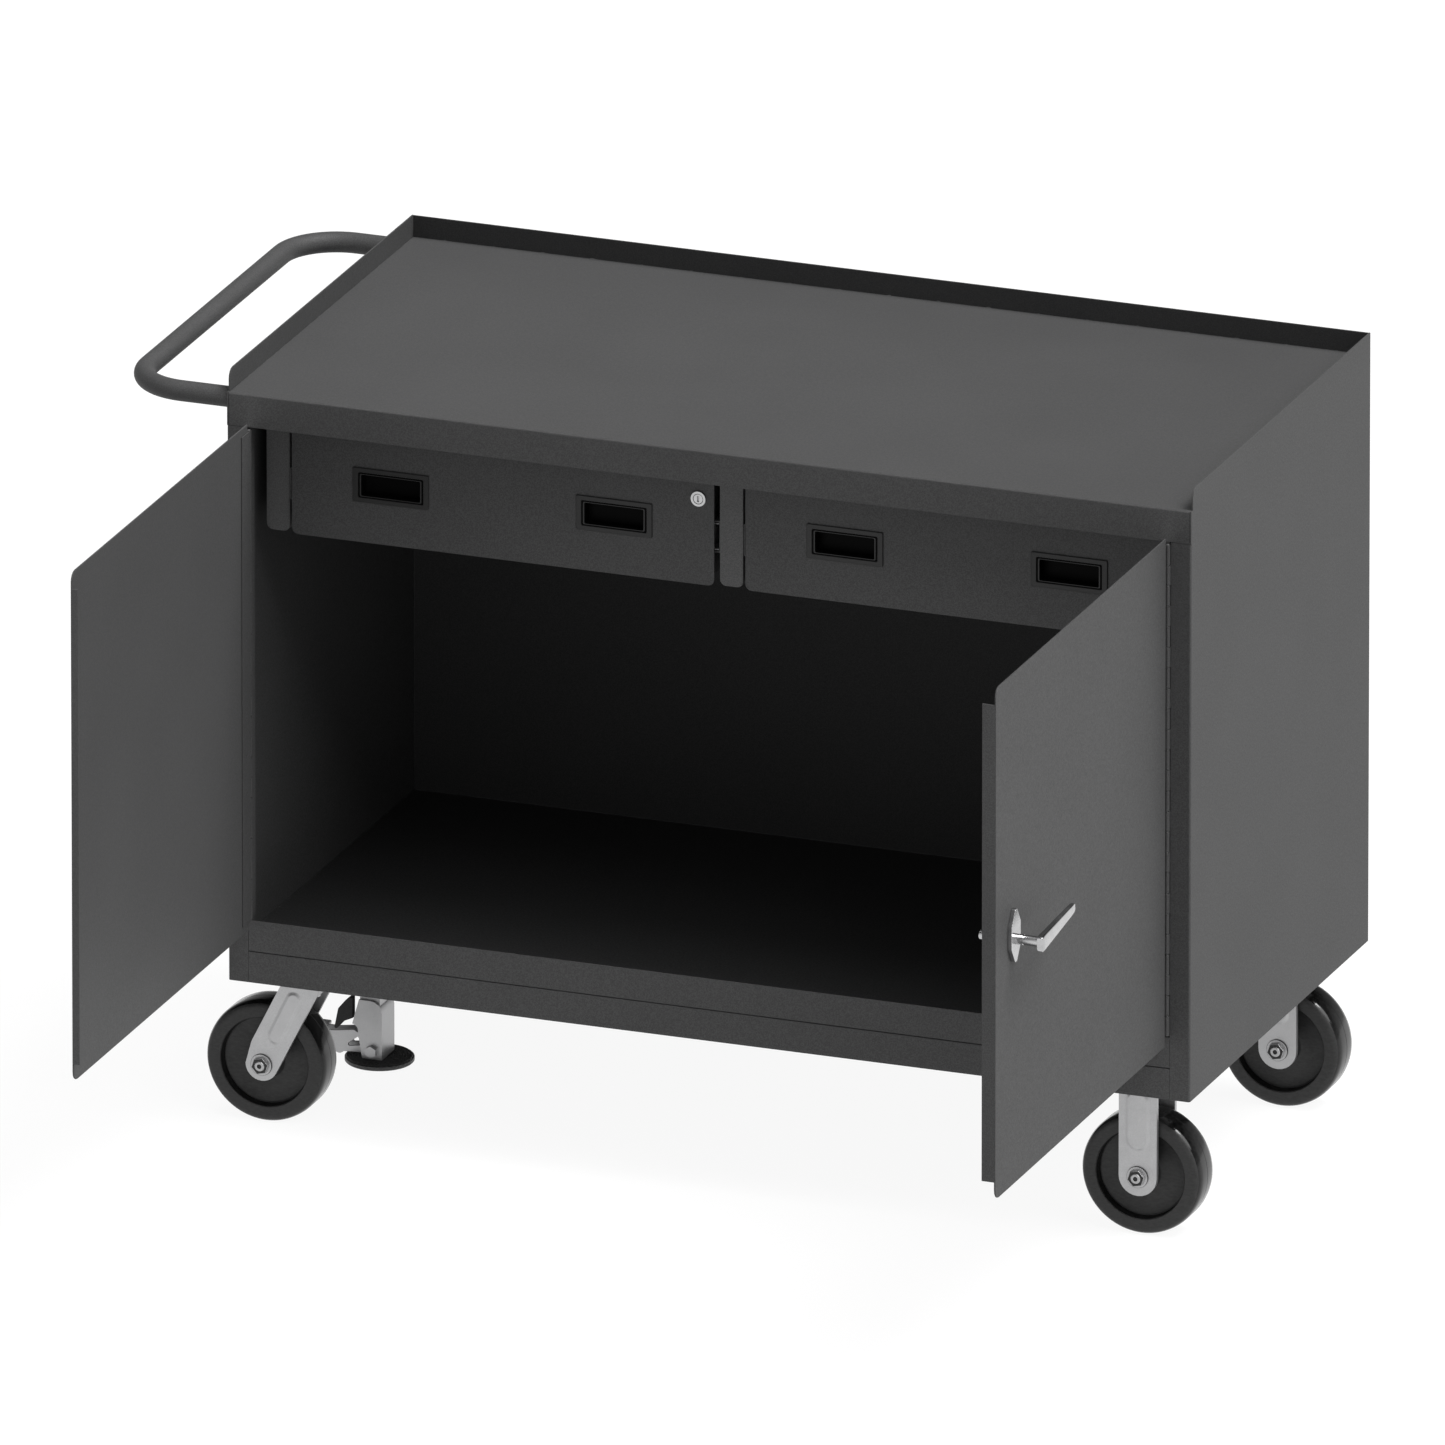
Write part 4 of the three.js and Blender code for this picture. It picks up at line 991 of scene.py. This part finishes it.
def axle(row, kind):
    node = f"{row}_{kind}_axle"
    low, high = span(node)
    centre = (low + high) / 2
    half, seat = (high.y - low.y) / 2, 34.3
    place = (centre.x, centre.z)
    bm = bmesh.new()
    profile = [(0, -half + 2), (2.7, -half + 2), (2.7, -half), (5.4, -half), (6.35, -half + 1)]
    both = profile + [(r, -y) for r, y in reversed(profile)]
    turned(bm, [(r, centre.y + y) for r, y in both], "y", place, 28)
    for way in (-1, 1):
        at = [centre.y + way * seat, centre.y + way * (seat + 1.6), centre.y + way * (half - 1.2)]
        turned(bm, [(0, at[0]), (13.5, at[0]), (13.5, at[1]), (0, at[1])], "y", place, 36)
        hexagon = [Vector((place[0] + 10.8 * math.cos(t), place[1] + 10.8 * math.sin(t)))
                   for t in (math.radians(60 * k + 12) for k in range(6))]
        slab(bm, hexagon, "y", *sorted(at[1:]))
    body = "frame" if kind == "rigid" else f"{row}_swivel"
    obj = finish_piece(node + "_set", bm, body, zinc_plate, [node], edge=0.45, segments=2, angle=25)
    # The drilled end of the axle and the outer rim of each washer take the black phenolic finish, as painted
    # shade.
    obj.data.materials.append(phenolic)
    for polygon in obj.data.polygons:
        spot = polygon.center / MM
        out = Vector((spot.x - centre.x, spot.z - centre.z)).length
        hole_shade = out < 2.75 and abs(spot.y - centre.y) > half - 2.2
        rim = 12.4 < out and abs(spot.y - centre.y) > seat - 1
        polygon.material_index = int(hole_shade or rim)


for row in CASTERS:
    swivel_fork(row)
    swivel_plate(row)
    rigid_fork(row)
    for kind in ("swivel", "rigid"):
        axle(row, kind)

bolt_places = []
for node in ("front_swivel_plate", "rear_swivel_plate", "front_rigid_fork", "rear_rigid_fork",
             "floor_lock_housing"):
    under_plate = span(node)[1].z - 5.9
    for way_x in (-1, 1):
        for way_y in (-1, 1):
            bolt_places.append((middle(node).x + way_x * 44, middle(node).y + way_y * 38, under_plate))
repeated("caster_bolts", points_at(bolt_places), bolt_heads, "frame", zinc_plate,
         Head=0.0064, Height=0.0055, Washer=0.0075, Shank=0.0036)
print("caster bolts", len(bolt_places))

# %% [markdown]
# ## Floor lock
# A foot pedal drives a rubber-faced pad down to the floor. The channels keep their imported shape with
# softened edges. The pedal is a folded fork with a ribbed tread, the pad has rings of small ridges, and a
# painted release tab leans out behind the channel.

# %% Floor lock
def floor_pad():
    low, high = span("floor_lock_pad")
    centre = (low + high) / 2
    radius = (high.x - low.x) / 2
    bm = bmesh.new()
    top, groove = high.z, high.z - 1
    profile = [(0, low.z), (radius - 1.2, low.z), (radius, low.z + 1.2), (radius, top - 2),
               (radius - 1, groove)]
    for k in range(9):
        ring = radius - 3 - 3.2 * k
        profile += [(ring + 1.2, groove), (ring + 0.6, top), (ring - 0.6, top), (ring - 1.2, groove)]
    profile += [(0, groove)]
    turned(bm, profile, "z", (centre.x, centre.y), 72)
    finish_piece("floor_lock_pad_rubber", bm, "floor_lock_foot", pad_rubber, ["floor_lock_pad"],
                 edge=0, angle=25)


def floor_pedal():
    low, high = span("floor_lock_pedal")
    y, rise, tip_x = middle("floor_lock_pad").y, high.z, low.x
    pivot = (high.x - 7.5, low.z + 7.5)
    x, z = pivot
    cheek = outline([(x + 6, z - 5, 3), (x + 6, z + 4, 3), (x - 12, z + 2, 4), (x - 40, z - 2, 2),
                     (x - 18, z + 15, 1.5), (x - 27, z + 20, 2), (x - 54, z + 16, 8), (tip_x, rise - 1, 1),
                     (tip_x, rise - 8, 1), (tip_x + 20, rise - 18, 8), (x - 46, z - 13, 6),
                     (x - 40, z - 9, 4), (x - 8, z - 7, 8)])
    bm = bmesh.new()
    for way in (-1, 1):
        slab(bm, cheek, "y", *sorted((y + way * 7.2, y + way * 10)))
    slab(bm, rectangle((tip_x, y - 20), (tip_x + 22, y + 20), 4), "z", rise - 3.4, rise - 0.6)
    for k in range(4):
        rib = tip_x + 3.5 + 5 * k
        block(bm, (rib - 1.1, y - 16, rise - 0.8), (rib + 1.1, y + 16, rise))
    turned(bm, [(5.5, y - 10), (7.5, y - 10), (7.5, y + 10), (5.5, y + 10), (5.5, y - 10)], "y", pivot, 28)
    finish_piece("floor_lock_pedal_fork", bm, "floor_lock_pedal", zinc_plate, ["floor_lock_pedal"], edge=0.5)


def release_tab():
    """A dark folded tab that leans away from the channel's open side, where a toe can push it."""
    clevis = span("floor_lock_clevis")
    x, top, y = clevis[0].x, clevis[1].z, middle("floor_lock_pad").y
    shape = outline([(x - 1, top, 1), (x - 6, top, 3), (x - 11, top - 5, 3), (x - 20, top - 16, 4),
                     (x - 25, top - 41, 2), (x - 22, top - 42, 1.5), (x - 12, top - 31, 3),
                     (x - 1, top - 26, 1)])
    bm = bmesh.new()
    slab(bm, shape, "y", y - 17, y - 8)
    finish_piece("floor_lock_release_tab", bm, "frame", inner_paint, edge=1.0, segments=3)
    guard = bmesh.new()
    block(guard, (clevis[1].x - 12, y + 22.5, 32), (clevis[1].x - 4, y + 25, 74))
    finish_piece("floor_lock_stop_strip", guard, "frame", inner_paint, edge=0.8)


floor_pad()
floor_pedal()
release_tab()
print("floor lock made")

# %% [markdown]
# ## Welds
# Short stitches join the worktop to the lips and run along the left edge of the floor pan. They are
# small, but they catch the light as broken dark and bright marks along otherwise straight seams.

# %% Weld stitches
def stitches(name, start, end, gap, half_size, seed, material=None):
    start, end = Vector(start), Vector(end)
    count = max(2, int((end - start).length / gap) + 1)
    places = [start.lerp(end, k / (count - 1)) for k in range(count)]
    repeated(name, points_at(places), weld_beads, "frame", material or shell_paint,
             Half_size=tuple(h * MM for h in half_size), Spread=0.45, Seed=seed)


top_low, top_high = span("worktop")
stitches("left_lip_stitches", (top_low.x + 0.2, top_low.y + 40, top_high.z),
         (top_low.x + 0.2, top_high.y - 30, top_high.z), 27, (0.9, 3.2, 0.7), 5)
stitches("right_lip_stitches", (top_high.x - 0.2, top_low.y + 40, top_high.z),
         (top_high.x - 0.2, top_high.y - 30, top_high.z), 27, (0.9, 3.2, 0.7), 9)
stitches("back_lip_stitches", (top_low.x + 40, top_high.y - 0.2, top_high.z),
         (top_high.x - 40, top_high.y - 0.2, top_high.z), 60, (3.2, 0.9, 0.7), 13)
floor_low, floor_high = span("floor_pan")
stitches("floor_side_stitches", (floor_low.x + 0.4, floor_low.y + 40, floor_high.z),
         (floor_low.x + 0.4, floor_high.y - 30, floor_high.z), 55, (0.9, 3.4, 0.8), 17)
print("stitches made")

# %% [markdown]
# Inside corners are run with a thin fillet of sealer before powder coating, so no light shows between the
# sheets. Each fillet is a slim three-sided bar with a hollow face.

# %% Sealer fillets
def fillet(name, start, end, first, second, size=1.6):
    """A hollow-faced bar in the corner between two directions, from start to end."""
    start, end, first, second = Vector(start), Vector(end), Vector(first), Vector(second)
    turns = [math.radians(15 * k) for k in range(1, 6)]
    hollow = [(1 - math.sin(t), 1 - math.cos(t)) for t in turns]
    shape = [(-0.25, -0.25), (1, -0.25), (1, 0)] + hollow + [(0, 1), (-0.25, 1)]
    rings = [[at + (first * a + second * b) * size for a, b in shape] for at in (start, end)]
    bm = bmesh.new()
    loft(bm, rings)
    # The fillet takes the darker copy of the powder, as painted shade.
    finish_piece(name, bm, "frame", inner_paint, edge=0, angle=50)


room_low = Vector((span("left_side_panel")[1].x - 23.5, floor_low.y + 30, floor_high.z))
room_high = Vector((span("right_side_panel")[1].x - 1.9, span("back_panel")[0].y, top_low.z))
fillet("back_left_fillet", (room_low.x, room_high.y, room_low.z), (room_low.x, room_high.y, 930),
       (1, 0, 0), (0, -1, 0))
fillet("back_right_fillet", (room_high.x, room_high.y, room_low.z), (room_high.x, room_high.y, 930),
       (-1, 0, 0), (0, -1, 0))
fillet("floor_back_fillet", (room_low.x, room_high.y, room_low.z), (room_high.x, room_high.y, room_low.z),
       (0, -1, 0), (0, 0, 1))
fillet("floor_left_fillet", (room_low.x, room_low.y, room_low.z), (room_low.x, room_high.y, room_low.z),
       (1, 0, 0), (0, 0, 1))
fillet("floor_right_fillet", (room_high.x, room_low.y, room_low.z), (room_high.x, room_high.y, room_low.z),
       (-1, 0, 0), (0, 0, 1))
print("fillets made")

# %% Hinge pins
for side in ("left", "right"):
    frame["nodes"][f"{side}_hinge_pin"].data.materials.append(zinc_plate)
print("hinge pins keep their packed shape")
